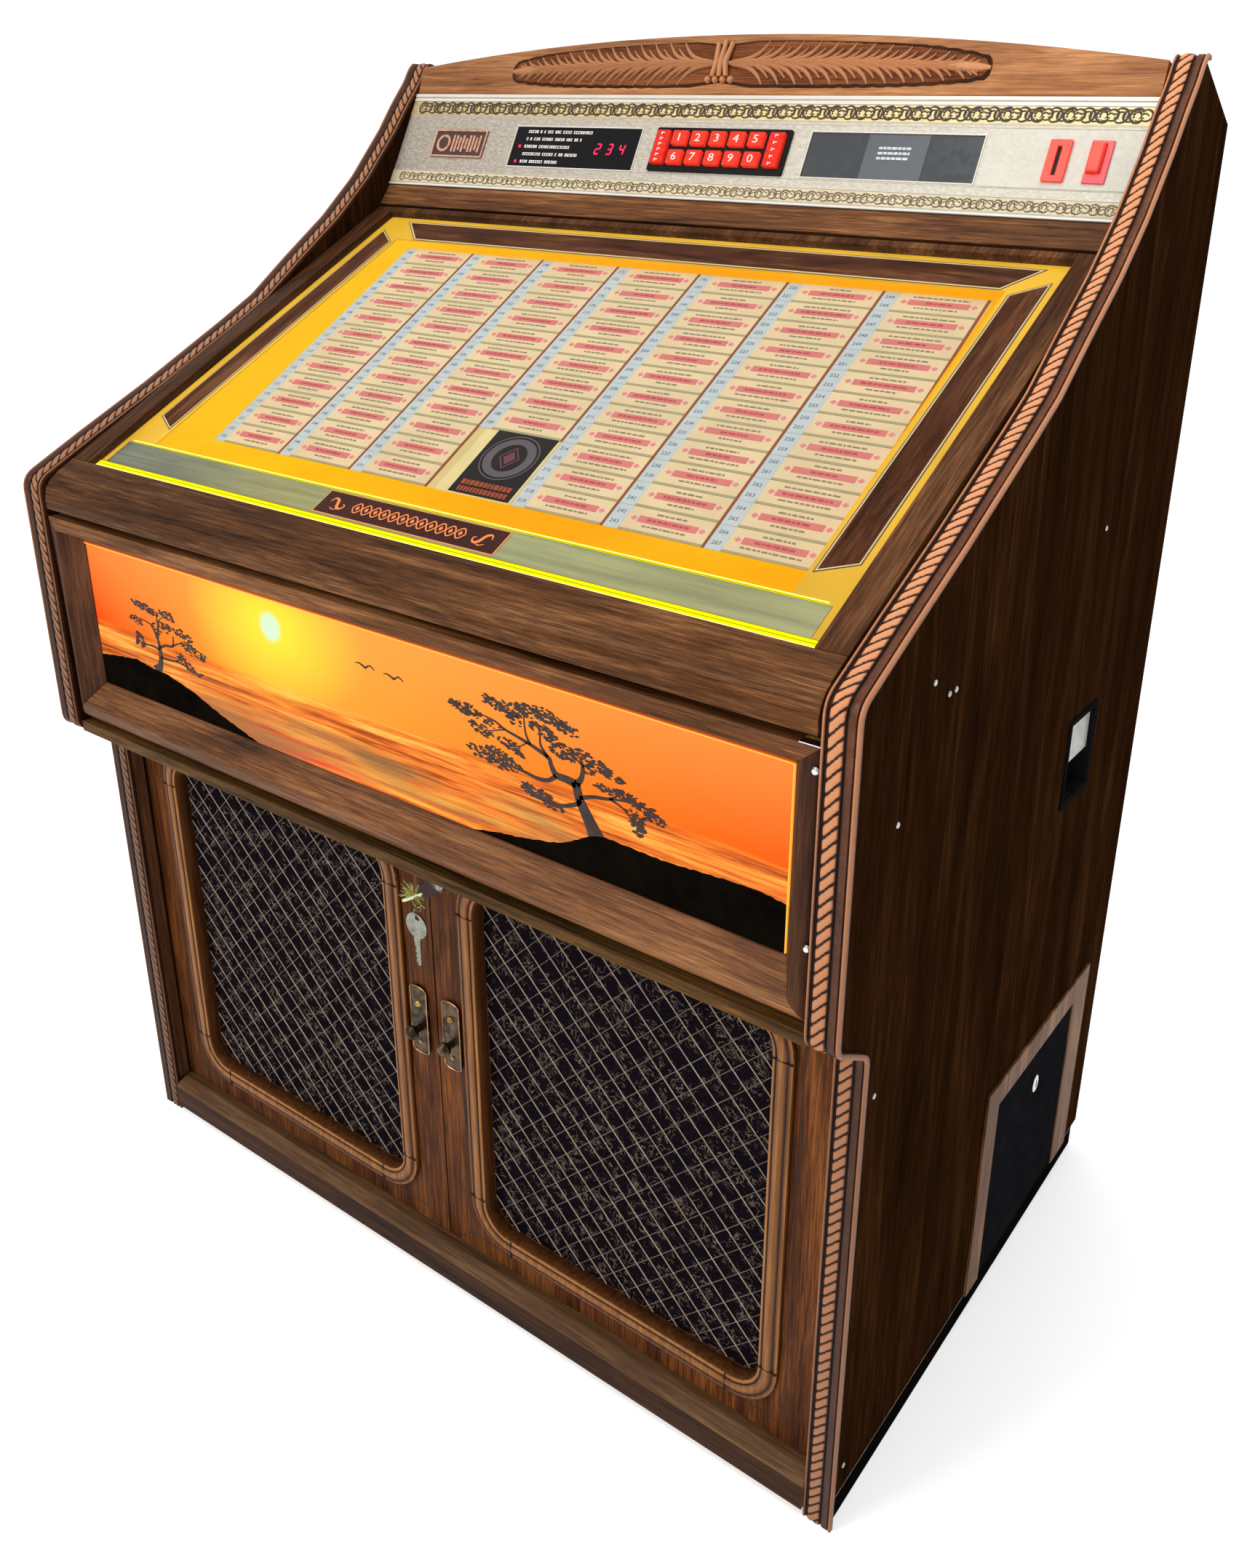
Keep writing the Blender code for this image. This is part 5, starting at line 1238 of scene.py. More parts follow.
for name, cs0, cs1, wd, mat in (
        ("scrolls_upper", 0.0105, 0.0262, 0.00185, speckled("scroll_ink_dark", "33240d", "1f1506", 500, 0.5, 0.1, 0.5, 0.0)),
        ("scrolls_lower", 0.1040, 0.1152, 0.00135, speckled("scroll_ink_pale", "64522f", "42341c", 500, 0.5, 0.1, 0.5, 0.0))):
    b = Build()
    cy, h = -(cs0 + cs1) / 2, cs1 - cs0
    for i in range(-30, 31):
        cx = i * 0.0158 + 0.002
        if abs(cx) > 0.4690:
            continue
        k = 1 if i % 2 else -1
        scroll(b, cx, cy, k, h, wd, 0.0004, 0.0006, True)
        if abs(cx + 0.0079) < 0.4720:
            scroll(b, cx + 0.0079, cy + 0.0004 * k, -k, h, wd * 0.9, 0.0004, 0.00058, False)
    b.obj(name, mat, "cabinet", flat=True)
b = Build()
b.box((0.3228, -0.0912, 0.0001), (0.4762, -0.0328, 0.0005), FASF)
b.obj("coin_panel_plate", speckled("coin_panel_paint", "c6c2b5", "b5b0a2", 260, 0.6, 0, 0.4, 0.05), "cabinet", bevel=0.0002, seg=1)
# Windows.
paint("display_window", BLACK_GLOSS)
paint("info_window", INFO)
b = Build()
for x0, x1, s0, s1 in ((-0.2869, -0.0986, 0.0407, 0.0902), (0.1241, 0.3179, 0.0401, 0.0891)):
    ringed(b, [(x, -s) for x, s in rect(x0 - 0.0013, x1 + 0.0013, s0 - 0.0013, s1 + 0.0013)],
           [(x, -s) for x, s in rect(x0 - 0.0001, x1 + 0.0001, s0 - 0.0001, s1 + 0.0001)], -0.0004, 0.0007, FASF)
b.obj("window_frames", FASCIA_EDGE, "cabinet", flat=True)
b = Build()
for s0, x1 in ((0.0462, -0.1700), (0.0554, -0.1835), (0.0648, -0.1990), (0.0742, -0.1850), (0.0836, -0.2110)):
    x = -0.2690
    while x < x1:
        l = min(rng.choice((0.0026, 0.0026, 0.0026, 0.0018)), x1 - x)
        q = rng.random()
        # Blocky marks with a notch, so that each row reads as small generic print.
        b.box((x, -s0 - 0.0017, -0.0009), (x + l, -s0 - 0.0009, -0.00055), FASF)
        b.box((x, -s0 + 0.0009, -0.0009), (x + l, -s0 + 0.0017, -0.00055), FASF)
        if q < 0.75:
            b.box((x, -s0 - 0.0017, -0.0009), (x + 0.0008, -s0 + 0.0017, -0.00054), FASF)
        if q > 0.3:
            b.box((x + l * 0.3, -s0 - 0.0003, -0.0009), (x + l, -s0 + 0.0005, -0.00053), FASF)
        x += l + (0.0008 if rng.random() < 0.84 else 0.0034)
b.obj("display_marks", WHITE_MARK, "cabinet", flat=True)
SEG = {"0": "abcdef", "1": "bc", "2": "abged", "3": "abgcd", "4": "fgbc", "5": "afgcd", "6": "afgedc", "7": "abc"}
LED = glow("led_magenta", "ff2048", 2.2, 0.3)
b = Build()


def seven(b, cx, cy, h, ch, m, z0, z1):
    wd, t, sk = h * 0.52, h * 0.13, 0.14
    ends = {"a": ((-1, 1), (1, 1)), "b": ((1, 1), (1, 0)), "c": ((1, 0), (1, -1)), "d": ((1, -1), (-1, -1)),
            "e": ((-1, -1), (-1, 0)), "f": ((-1, 0), (-1, 1)), "g": ((-1, 0), (1, 0))}
    for q in SEG[ch]:
        p = [Vector((x * wd / 2, y * h / 2)) for x, y in ends[q]]
        d = (p[1] - p[0]).normalized()
        n = Vector((-d.y, d.x)) * t / 2
        a, c = p[0] + d * t * 0.62, p[1] - d * t * 0.62
        loop = [p[0] + d * t * 0.12, a + n, c + n, p[1] - d * t * 0.12, c - n, a - n]
        b.prism([(cx + v.x + v.y * sk, cy + v.y) for v in loop], z0, z1, m)


for cx, ch in ((-0.1560, "2"), (-0.1385, "3"), (-0.1210, "4")):
    seven(b, cx, -0.0655, 0.0118, ch, FASF, -0.0009, -0.0005)
for s0 in (0.0648, 0.0836):
    b.lathe([(0, -0.0009), (0.0019, -0.0009), (0.0017, -0.0003), (0, -0.0001)], 14,
            FASF @ Matrix.Translation((-0.2765, -s0, 0)))
b.obj("display_leds", LED, "cabinet", flat=True)
b = Build()
b.box((0.1915, -0.0886, -0.0009), (0.2600, -0.0406, -0.0006), FASF)
b.obj("info_patch", speckled("info_card", "50555a", "43484c", 90, 0.3, 0, 0.5, 0.0), "cabinet", flat=True)
b = Build()
for s0 in (0.0552, 0.0606, 0.0660):
    x = 0.2060
    while x < 0.2400:
        l = rng.uniform(0.0020, 0.0062)
        b.box((x, -s0 - 0.0013, -0.0007), (min(x + l, 0.2420), -s0 + 0.0013, -0.0004), FASF)
        x += l + 0.0009
b.obj("info_marks", speckled("info_mark", "c6cdd3", "a0a8ae", 300, 0.5, 0, 0.5, 0.0), "cabinet", flat=True)
# Keypad.
KEYRED = glow("lit_red_key", "ff3a26", 0.62, 0.34, 0.30, 230)
KEYTALL = glow("lit_red_tall_key", "f52f1e", 0.5, 0.34, 0.30, 230)
paint("keypad_bezel", BLACK, 0.0006)
for ch in "1234567890":
    node, body = "key_" + ch, "b_key_" + ch
    paint(node, KEYRED, 0.0011, 3)
    lo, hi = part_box(node)
    row = 0.0526 if ch in "12345" else 0.0747
    b = Build()
    number(b, ch, FASF, (lo.x + hi.x) / 2, -row, 0.0088, 0.0070, 0.00735, wide=1.25)
    o = b.obj("numeral_" + ch, WHITE_MARK, body, flat=True)
for node in ("key_cancel", "key_reset"):
    paint(node, KEYTALL, 0.0011, 3)
    lo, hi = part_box(node)
    b = Build()
    cx = (lo.x + hi.x) / 2
    n = 6 if node == "key_cancel" else 5
    for i in range(n):
        y = -0.0480 - i * (0.0310 / (n - 1)) 
        b.box((cx - 0.0021, y - 0.0005, 0.0070), (cx + 0.0021, y + 0.0005, 0.00735), FASF)
        b.box((cx - 0.0021, y - 0.0022, 0.0070), (cx - 0.0010, y + 0.0012, 0.00734), FASF)
    b.obj("marks_" + node, WHITE_MARK, "b_" + node, flat=True)
# Coin slot and reject button.
REDP = speckled("red_plate", "ee4632", "dc3a28", 300, 0.38, 0, 0.5, 0.05, Emission_Color=(0.9, 0.06, 0.03, 1), Emission_Strength=0.16)
paint("coin_slot_plate", REDP, 0.0004, 1)
paint("coin_reject_button", REDP, 0.0009, 2)
b = Build()
ringed(b, [(x, -s) for x, s in rect(0.4257, 0.4469, 0.0436, 0.0853)],
       [(x, -s) for x, s in rect(0.4275, 0.4408, 0.0464, 0.0761)], 0.0002, 0.0026, FASF)
b.obj("reject_plate", speckled("reject_plate_red", "f0525a", "e04048", 300, 0.38, 0, 0.5, 0.05), "cabinet", bevel=0.0003, seg=1)
b = Build()
ringed(b, [(x, -s) for x, s in rect(0.4275, 0.4408, 0.0464, 0.0761)],
       [(x, -s) for x, s in rect(0.42775, 0.44055, 0.04665, 0.07585)], 0.0002, 0.0012, FASF)
b.box((0.3944, -0.0789, 0.0003), (0.3989, -0.0501, 0.0008), FASF)
b.obj("slot_darks", RUBBER, "cabinet", flat=True)
# Generic badge: framed copper plate with a ring and bars.
COPPER = speckled("badge_copper", "cf9c84", "96624c", 200, 0.35, 0.35, 0.7, 0.1)
BADGE = speckled("badge_ground", "3d2219", "25130d", 260, 0.5, 0.2, 0.6, 0.1)
b = Build()
b.box((-0.4189, -0.0828, 0.0001), (-0.3320, -0.0475, 0.0014), FASF)
b.obj("badge_plate", BADGE, "cabinet", bevel=0.0004, seg=1)
b = Build()
ringed(b, [(x, -s) for x, s in rect(-0.4189, -0.3320, 0.0475, 0.0828)],
       [(x, -s) for x, s in rect(-0.4168, -0.3341, 0.0496, 0.0807)], 0.0010, 0.0024, FASF)
outer = [(-0.4010 + 0.0112 * math.cos(a), -0.0652 + 0.0112 * math.sin(a)) for a in [2 * math.pi * i / 32 for i in range(32)]]
inner = [(-0.4010 + 0.0078 * math.cos(a), -0.0652 + 0.0078 * math.sin(a)) for a in [2 * math.pi * i / 32 for i in range(32)]]
ringed(b, outer, inner, 0.0010, 0.0024, FASF)
for i, x in enumerate((-0.3850, -0.3795, -0.3740, -0.3685, -0.3630, -0.3575, -0.3520, -0.3465, -0.3410)):
    hh = (0.0108, 0.0108, 0.0085, 0.0108, 0.0070, 0.0108, 0.0108, 0.0085, 0.0108)[i]
    b.box((x - 0.0016, -0.0652 - hh, 0.0010), (x + 0.0016, -0.0652 + hh, 0.0022), FASF)
b.obj("badge_relief", COPPER, "cabinet", bevel=0.0002, seg=1)

# ==================================================================== doors
DOORW = wood("door_oak", "2b1509", "623c22", "92623a", "z", 0.46, 0.7, 1.1, 0.1, seed=31, spec=0.05, light_fade=(0.64, 0.98))
DOORX = wood("door_oak_across", "2b170a", "5c3b20", "855a34", "x", 0.46, 0.7, 1.1, 0.1, seed=32, spec=0.06)
# Dark strips: the bead joints in their own dark colour, and the board grooves, whose dark is painted shade.
GROOVE = speckled("joint_dark_and_groove_shade", "23100a", "150905", 200, 0.8, 0, 0.5, 0.1)


def bead_material():
    w = Mat("door_bead", 0.42, Coat_Weight=0.04, Coat_Roughness=0.25, Specular_IOR_Level=0.12)
    att = w.n("Attribute", attribute_name="cav").outputs["Fac"]
    streak = w.noise(w.coords((70, 70, 4)), 3.5, 5, 0.6)
    f = w.math("ADD", att, w.math("MULTIPLY", w.math("SUBTRACT", streak, 0.5), 0.7))
    w.link(w.ramp(f, [(0.12, srgb("1c0d05")), (0.42, srgb("4c2a12")), (0.72, srgb("704520")), (1.0, srgb("a06a36"))]), "Base Color")
    w.bump(streak, 0.15, 0.0004)
    return w.m


BEAD = bead_material()
w = Mat("grille_cloth", 0.95, Specular_IOR_Level=0.0)
n1 = w.noise(w.coords((1, 1, 1)), 95, 2, 0.5, 1.2)
n3 = w.noise(w.coords((1, 1, 1), loc=(2, 9, 4)), 60, 2, 0.5)
n2 = w.noise(w.coords((1, 1, 1), loc=(5, 2, 7)), 420, 2, 0.6)
fl = w.math("MULTIPLY", w.ramp(w.math("ABSOLUTE", w.math("SUBTRACT", n1, 0.5)), [(0.012, (1, 1, 1, 1)), (0.035, (0, 0, 0, 1))]),
            w.ramp(n3, [(0.44, (0, 0, 0, 1)), (0.56, (1, 1, 1, 1))]))
cc = w.mix(fl, w.mix(n2, srgb("050306"), srgb("19141a")), w.mix(n2, srgb("3a302b"), srgb("6c5c50")))
w.link(cc, "Base Color")
w.bump(n1, 0.9, 0.0016)
CLOTH = w.m
THREAD_A = speckled("grille_thread_light", "b0a18c", "6a5d4e", 500, 0.55, 0.0, 0.6, 0.2, Specular_IOR_Level=0.2)
THREAD_B = speckled("grille_thread_dim", "6a5f55", "3a332d", 500, 0.6, 0.0, 0.6, 0.2, Specular_IOR_Level=0.1)
OX0, OX1, OZ0_, OZ1_, ORR = 0.0630, 0.4125, 0.0975, 0.5190, 0.032
# BEADP rows are (offset, depth, cav); cav is dark in the grooves as painted shade and light on the crests as a painted
# highlight.
BEADP = [(-0.0004, -0.2645, 0.2), (-0.0004, -0.2788, 0.6), (0.0006, -0.2799, 1.05), (0.0026, -0.2803, 0.75), (0.0034, -0.2797, 0.0),
         (0.0042, -0.2797, 0.0), (0.0052, -0.2807, 0.75), (0.0090, -0.2814, 0.85), (0.0130, -0.2808, 0.70), (0.0150, -0.2798, 0.35),
         (0.0156, -0.2793, 0.0), (0.0163, -0.2797, 0.35), (0.0186, -0.2798, 0.75), (0.0200, -0.2790, 0.95), (0.0208, -0.2742, 0.1),
         (0.0208, -0.2700, 0.1)]


def inside(x, z, k=0.0):
    if not (OX0 + k < x < OX1 - k and OZ0_ + k < z < OZ1_ - k):
        return False
    r = ORR - k
    cx = min(max(x, OX0 + ORR), OX1 - ORR)
    cz = min(max(z, OZ0_ + ORR), OZ1_ - ORR)
    if (x < OX0 + ORR or x > OX1 - ORR) and (z < OZ0_ + ORR or z > OZ1_ - ORR):
        return math.hypot(x - cx, z - cz) < r
    return True


for side, s in (("left", -1), ("right", 1)):
    body = side + "_door"
    paint("door_" + side, DOORW, 0.0008, 1)
    paint("grille_" + side, CLOTH)
    # Beaded frame round the opening.
    b = Build()
    loops, cav = [], []
    for t, y, c in BEADP:
        l = rounded(OX0 - t, OX1 + t, OZ0_ - t, OZ1_ + t, ORR + t, 9)
        loops.append([(s * x, y, z) for x, z in l])
        cav += [c] * len(l)
    b.loft(loops, I4, False, True, cav)
    b.obj("door_bead_" + side, BEAD, body, 40)
    # Joints of the bead's corner blocks.
    b = Build()
    for x, z, dx, dz in ((OX0, OZ0_ + ORR + 0.004, -1, 0), (OX0, OZ1_ - ORR - 0.004, -1, 0), (OX1, OZ0_ + ORR + 0.004, 1, 0),
                         (OX1, OZ1_ - ORR - 0.004, 1, 0), (OX0 + ORR + 0.004, OZ0_, 0, -1), (OX1 - ORR - 0.004, OZ0_, 0, -1),
                         (OX0 + ORR + 0.004, OZ1_, 0, 1), (OX1 - ORR - 0.004, OZ1_, 0, 1)):
        a = (x + dx * -0.0003, z + dz * -0.0003)
        e = (x + dx * 0.0207, z + dz * 0.0207)
        wx, wz = (0.00035, 0) if dz else (0, 0.00035)
        xs, zs = sorted((a[0], e[0])), sorted((a[1], e[1]))
        b.box((min(s * (xs[0] - wx), s * (xs[1] + wx)), -0.28155, zs[0] - wz), (max(s * (xs[0] - wx), s * (xs[1] + wx)), -0.2790, zs[1] + wz))
    # Grooves between the boards, mitred at the bottom corners, drawn as dark strips: painted shade of the V-grooves.
    for x in (0.0332, 0.4405):
        b.box((min(s * (x - 0.0007), s * (x + 0.0007)), -0.27412, 0.0700), (max(s * (x - 0.0007), s * (x + 0.0007)), -0.2738, 0.5558))
    b.box((min(s * 0.0332, s * 0.4405), -0.27412, 0.0693), (max(s * 0.0332, s * 0.4405), -0.2738, 0.0706))
    for x0, x1 in ((0.0332, 0.0140), (0.4405, 0.4600)):
        b.prism([(s * x0, 0.0706), (s * x0, 0.0690), (s * x1, 0.0502), (s * x1, 0.0518)], 0.2738, 0.27412, XZ)
    b.obj("door_grooves_" + side, GROOVE, body, flat=True)
    # Woven lattice.
    for name, slope_, mat, r in (("a", -1, THREAD_A, 0.00068), ("b", 1, THREAD_B, 0.00052)):
        b = Build()
        c = -0.50
        while c < 1.00:
            pts = []
            for k in range(0, 900):
                x = OX0 - 0.002 + k * 0.0005
                z = c + slope_ * x
                if inside(x, z, 0.0006):
                    pts.append((x, z))
            if len(pts) > 12:
                (xa, za), (xb, zb) = pts[0], pts[-1]
                y = -0.26355 if name == "a" else -0.26325
                b.tube([(xa * s if s > 0 else -(OX0 + OX1 - xa), y, za), (xb * s if s > 0 else -(OX0 + OX1 - xb), y, zb)], r, 5)
            c += 0.0302
        b.obj("grille_lattice_%s_%s" % (name, side), mat, body, 80)
    # Pull plate: raised rim and a small boss above the knob.
    paint("pull_" + side, BRONZE, 0.0005, 2)
    b = Build()
    cx = s * 0.0235
    rim = [(cx - 0.0117, 0.2900), (cx - 0.0117, 0.3650)] + [(cx + 0.0117 * math.cos(math.radians(a)), 0.3650 + 0.0042 * math.sin(math.radians(a))) for a in range(165, 0, -15)] \
        + [(cx + 0.0117, 0.3650), (cx + 0.0117, 0.2900)] + [(cx + 0.0117 * math.cos(math.radians(a)), 0.2900 - 0.0042 * math.sin(math.radians(-a))) for a in range(-15, -180, -15)]
    rim = [(x, z if z > 0.29 else 0.29 - abs(0.29 - z)) for x, z in rim]
    b.tube([(x, -0.2771, z) for x, z in rim], 0.0007, 6, closed=True)
    b.obj("pull_rim_" + side, speckled("pull_rim_copper_" + side, "c69a72", "7c5638", 160, 0.28, 0.9, 0.6, 0.1), body, 60)
    b = Build()
    b.lathe([(0, 0.0), (0.0042, 0.0), (0.0040, 0.0014), (0.0026, 0.0030), (0, 0.0034)], 18, basis((cx, -0.2768, 0.3480), (1, 0, 0), (0, 0, 1)))
    b.lathe([(0, 0.0), (0.0026, 0.0), (0.0022, 0.0012), (0, 0.0018)], 14, basis((cx, -0.2768, 0.3000), (1, 0, 0), (0, 0, 1)))
    b.obj("pull_bosses_" + side, BRASS, body, 50)
    # Butt hinges seen when the door is open.
    b = Build()
    for z in (0.13, 0.30, 0.47):
        b.box((min(s * 0.4560, s * 0.4738), -0.2558, z - 0.025), (max(s * 0.4560, s * 0.4738), -0.2548, z + 0.025))
        for dz in (-0.016, 0.0, 0.016):
            screw_head(b, basis((s * 0.4640, -0.2548, z + dz), (-1, 0, 0), (0, 0, 1)), 0.0028, 0.0009)
    b.obj("door_hinge_leaves_" + side, STEEL, body, 40)

# Keys on a tied string: one key stays in the lock, the other hangs below it.
# Knot and string hang just in front of the bow, so the key in the lock turns behind them.
paint("lock_key", STEEL, 0.0003, 1)
STRING = speckled("tie_string", "a39c58", "5c5622", 600, 0.9, 0, 0.7, 0.4, Specular_IOR_Level=0.1)
KX, KY, KZ = 0.0145, -0.3026, 0.5050
route = [(0.0010, 0.0022, -0.0010), (0.0040, 0.0006, -0.0026), (0.0060, -0.0002, -0.0062), (0.0052, -0.0002, -0.0098), (0.0030, -0.0002, -0.0124),
         (-0.0004, -0.0002, -0.0136), (-0.0038, -0.0002, -0.0124), (-0.0060, -0.0002, -0.0098), (-0.0066, -0.0002, -0.0062),
         (-0.0046, 0.0004, -0.0026), (-0.0018, 0.0014, 0.0004)]
path = []
for i in range(len(route) - 1):
    q0, q1, q2, q3 = (Vector(route[max(i - 1, 0)]), Vector(route[i]), Vector(route[i + 1]), Vector(route[min(i + 2, len(route) - 1)]))
    for k in range(3):
        t = k / 3
        q = 0.5 * ((2 * q1) + (q2 - q0) * t + (2 * q0 - 5 * q1 + 4 * q2 - q3) * t * t + (3 * q1 - q0 - 3 * q2 + q3) * t ** 3)
        path.append((KX + q.x, KY + q.y, KZ + q.z))
path.append((KX + route[-1][0], KY + route[-1][1], KZ + route[-1][2]))
b = Build()
b.tube(path, 0.0007, 8)
string = b.obj("key_string", STRING, "right_door", 60)
# Knot: a wound bundle with frayed ends.
b = Build()
for turn_ in range(3):
    r = 0.0042 - 0.0008 * turn_
    tilt = (0.5, -0.7, 0.1)[turn_]
    ring = [(KX - 0.0005 + r * math.cos(a), KY - 0.0022 - 0.0005 * turn_ + 0.0004 * math.sin(2 * a), KZ + 0.0005 + r * 0.7 * math.sin(a + tilt))
            for a in [2 * math.pi * i / 18 for i in range(18)]]
    b.tube(ring, 0.0010, 6, closed=True)
b.lathe([(0, -0.0010), (0.0022, -0.0006), (0.0034, 0.0006), (0.0028, 0.0020), (0, 0.0026)], 14, basis((KX, KY + 0.0012, KZ), (1, 0, 0), (0, 0, 1)))
for i in range(46):
    up = i % 3 != 0
    a = rng.uniform(1.1, 3.6) if up else rng.uniform(-0.7, 0.5)
    l = rng.uniform(0.008, 0.021) if up else rng.uniform(0.008, 0.018)
    p = (KX - 0.0005 + rng.uniform(-0.0025, 0.0025), KY - 0.0020 + rng.uniform(-0.001, 0.001), KZ + 0.0005 + rng.uniform(-0.002, 0.002))
    q = (p[0] + l * math.cos(a), p[1] - rng.uniform(0.0004, 0.0048), p[2] + l * 0.8 * math.sin(a) - (0.0 if up else 0.003))
    mid = ((p[0] + q[0]) / 2 + rng.uniform(-0.001, 0.001), (p[1] + q[1]) / 2 - 0.0010, (p[2] + q[2]) / 2 + rng.uniform(0.0004, 0.0022))
    b.tube([p, mid, q], [0.0009, 0.0008, 0.0004], 5)
# Stiff tag of folded tape across the knot.
b.obj("key_string_knot", STRING, "right_door", 60)
b = Build()
b.prism([(KX - 0.0165, KZ - 0.0085), (KX - 0.0150, KZ - 0.0110), (KX - 0.0080, KZ - 0.0072), (KX + 0.0120, KZ + 0.0058), (KX + 0.0135, KZ + 0.0086),
         (KX + 0.0110, KZ + 0.0088), (KX - 0.0100, KZ - 0.0046)], -KY + 0.0034, -KY + 0.0052, XZ)
b.obj("key_tape_tag", speckled("tape_tag", "c9cfa8", "9aa072", 300, 0.6, 0, 0.5, 0.2), "right_door", 40, 0.0003, 1)
b = Build()
ring = [(KX - 0.0004, KY - 0.0004 + 0.0046 * math.cos(a), KZ - 0.0172 + 0.0046 * math.sin(a)) for a in [2 * math.pi * i / 24 for i in range(24)]]
b.tube(ring, 0.0005, 6, closed=True)
# Second key: round bow with a hole, neck and toothed blade.
hx, hy, hz = KX - 0.0024, KY - 0.0004, KZ - 0.0350
K = 1.32
outer = [(hx + 0.0108 * K * math.cos(a), hz + 0.0108 * K * math.sin(a)) for a in [2 * math.pi * i / 40 for i in range(40)]]
inner = [(hx + 0.0020 + 0.0024 * K * math.cos(a), hz + 0.0070 * K + 0.0022 * K * math.sin(a)) for a in [2 * math.pi * i / 40 for i in range(40)]]
ringed(b, outer, inner, -hy - 0.0010, -hy + 0.0010, XZ)
b.prism([(hx + u * K, hz + v * K) for u, v in (
    (-0.0038, -0.0090), (0.0038, -0.0090), (0.0028, -0.0150), (0.0028, -0.0330), (0.0006, -0.0355), (-0.0012, -0.0330), (-0.0024, -0.0310),
    (-0.0012, -0.0290), (-0.0026, -0.0268), (-0.0010, -0.0246), (-0.0026, -0.0222), (-0.0012, -0.0200), (-0.0028, -0.0176))],
    -hy - 0.0008, -hy + 0.0008, XZ)
spare = b.obj("hanging_key", speckled("nickel_key", "8d9184", "565a50", 140, 0.30, 0.85, 0.7, 0.15), "right_door", 40, 0.0002, 1)
b = Build()
b.lathe([(0, 0), (0.0105, 0), (0.0105, 0.0008), (0.0092, 0.0020), (0.0084, 0.0022), (0, 0.0022)], 28,
        basis((KX, -0.27405, KZ), (1, 0, 0), (0, 0, 1)))
b.obj("lock_rosette", BRONZE, "right_door", 40)

# =========================================================== sides and plinth
b = Build()
for s in (-1, 1):
    b.box((min(s * 0.4772, s * 0.5030), -0.2885, 0.0000), (max(s * 0.4772, s * 0.5030), 0.3320, 0.0290))
b.obj("plinth_side_strips", PLINTH, "cabinet", bevel=0.0008, seg=1)
b = Build()
for s in (-1, 1):
    b.box((min(s * 0.4780, s * 0.5036), -0.2880, 0.0290), (max(s * 0.4780, s * 0.5036), 0.3320, 0.0298))
b.obj("plinth_side_line", FASCIA_EDGE, "cabinet", flat=True)
paint("coin_return_cup", BLACK_METAL, 0.0006)
paint("coin_return_flap", speckled("flap_plastic", "a9a9a4", "7d7d78", 120, 0.4, 0.1, 0.5, 0.05), 0.0006)
paint("cash_door_frame", FRAME_OAK, 0.0012)
paint("cash_door", BLACK_METAL, 0.0008)
b = Build()
cy, cz = 0.1425, 0.631
ringed(b, rounded(0.1040, 0.1810, 0.5820, 0.6800, 0.004, 3), rounded(0.1052, 0.1798, 0.5832, 0.6788, 0.003, 3), 0.5057, 0.5063, YZ)
b.obj("coin_return_edge", BLACK_METAL, "cabinet", flat=True)
b = Build()
b.lathe([(0, 0.0), (0.0095, 0.0), (0.0095, 0.0010), (0.0080, 0.0024), (0.0060, 0.0028), (0, 0.0028)], 28,
        basis((0.5058, 0.145, 0.220), (0, 1, 0), (0, 0, 1)) @ Matrix.Diagonal((0.85, 1.15, 0.5, 1)))
b.obj("cash_lock_barrel", CHROME, "cash_flap_door", 40)
b = Build()
b.box((0.50705, 0.1438, 0.2150), (0.50728, 0.1462, 0.2250))
b.obj("cash_lock_keyway", RUBBER, "cash_flap_door", flat=True)

# ============================================================== inner works
PRESSED = speckled("pressed_steel", "a9abaa", "74777a", 130, 0.38, 0.85, 0.5, 0.08)
GALV = speckled("galvanised_sheet", "9fa3a4", "7d8183", 60, 0.45, 0.8, 0.8, 0.1)
CHIP = wood("chipboard", "4f3a26", "7c6142", "a5855d", "x", 0.85, 0.35, 3.0, 0.0, seed=41)
for node, mat, bv in (("mechanism_deck", GALV, 0.0006), ("amplifier", BLACK_METAL, 0.0015), ("mains_inlet", BLACK, 0.0006),
                      ("coin_acceptor", PRESSED, 0.0008), ("cash_box", GALV, 0.0008), ("lightbox_tray", WHITE, 0.0005),
                      ("picture_lamp", glow("fluorescent_tube", "fff6dc", 1.4, 0.3), 0.0), ("speaker_baffle", CHIP, 0.0005),
                      ("lid_stay_arm", STEEL, 0.0004), ("record_magazine", BLACK, 0.0), ("turntable", ALLOY, 0.0006),
                      ("tonearm", CHROME, 0.0003)):
    paint(node, mat, bv, 1)
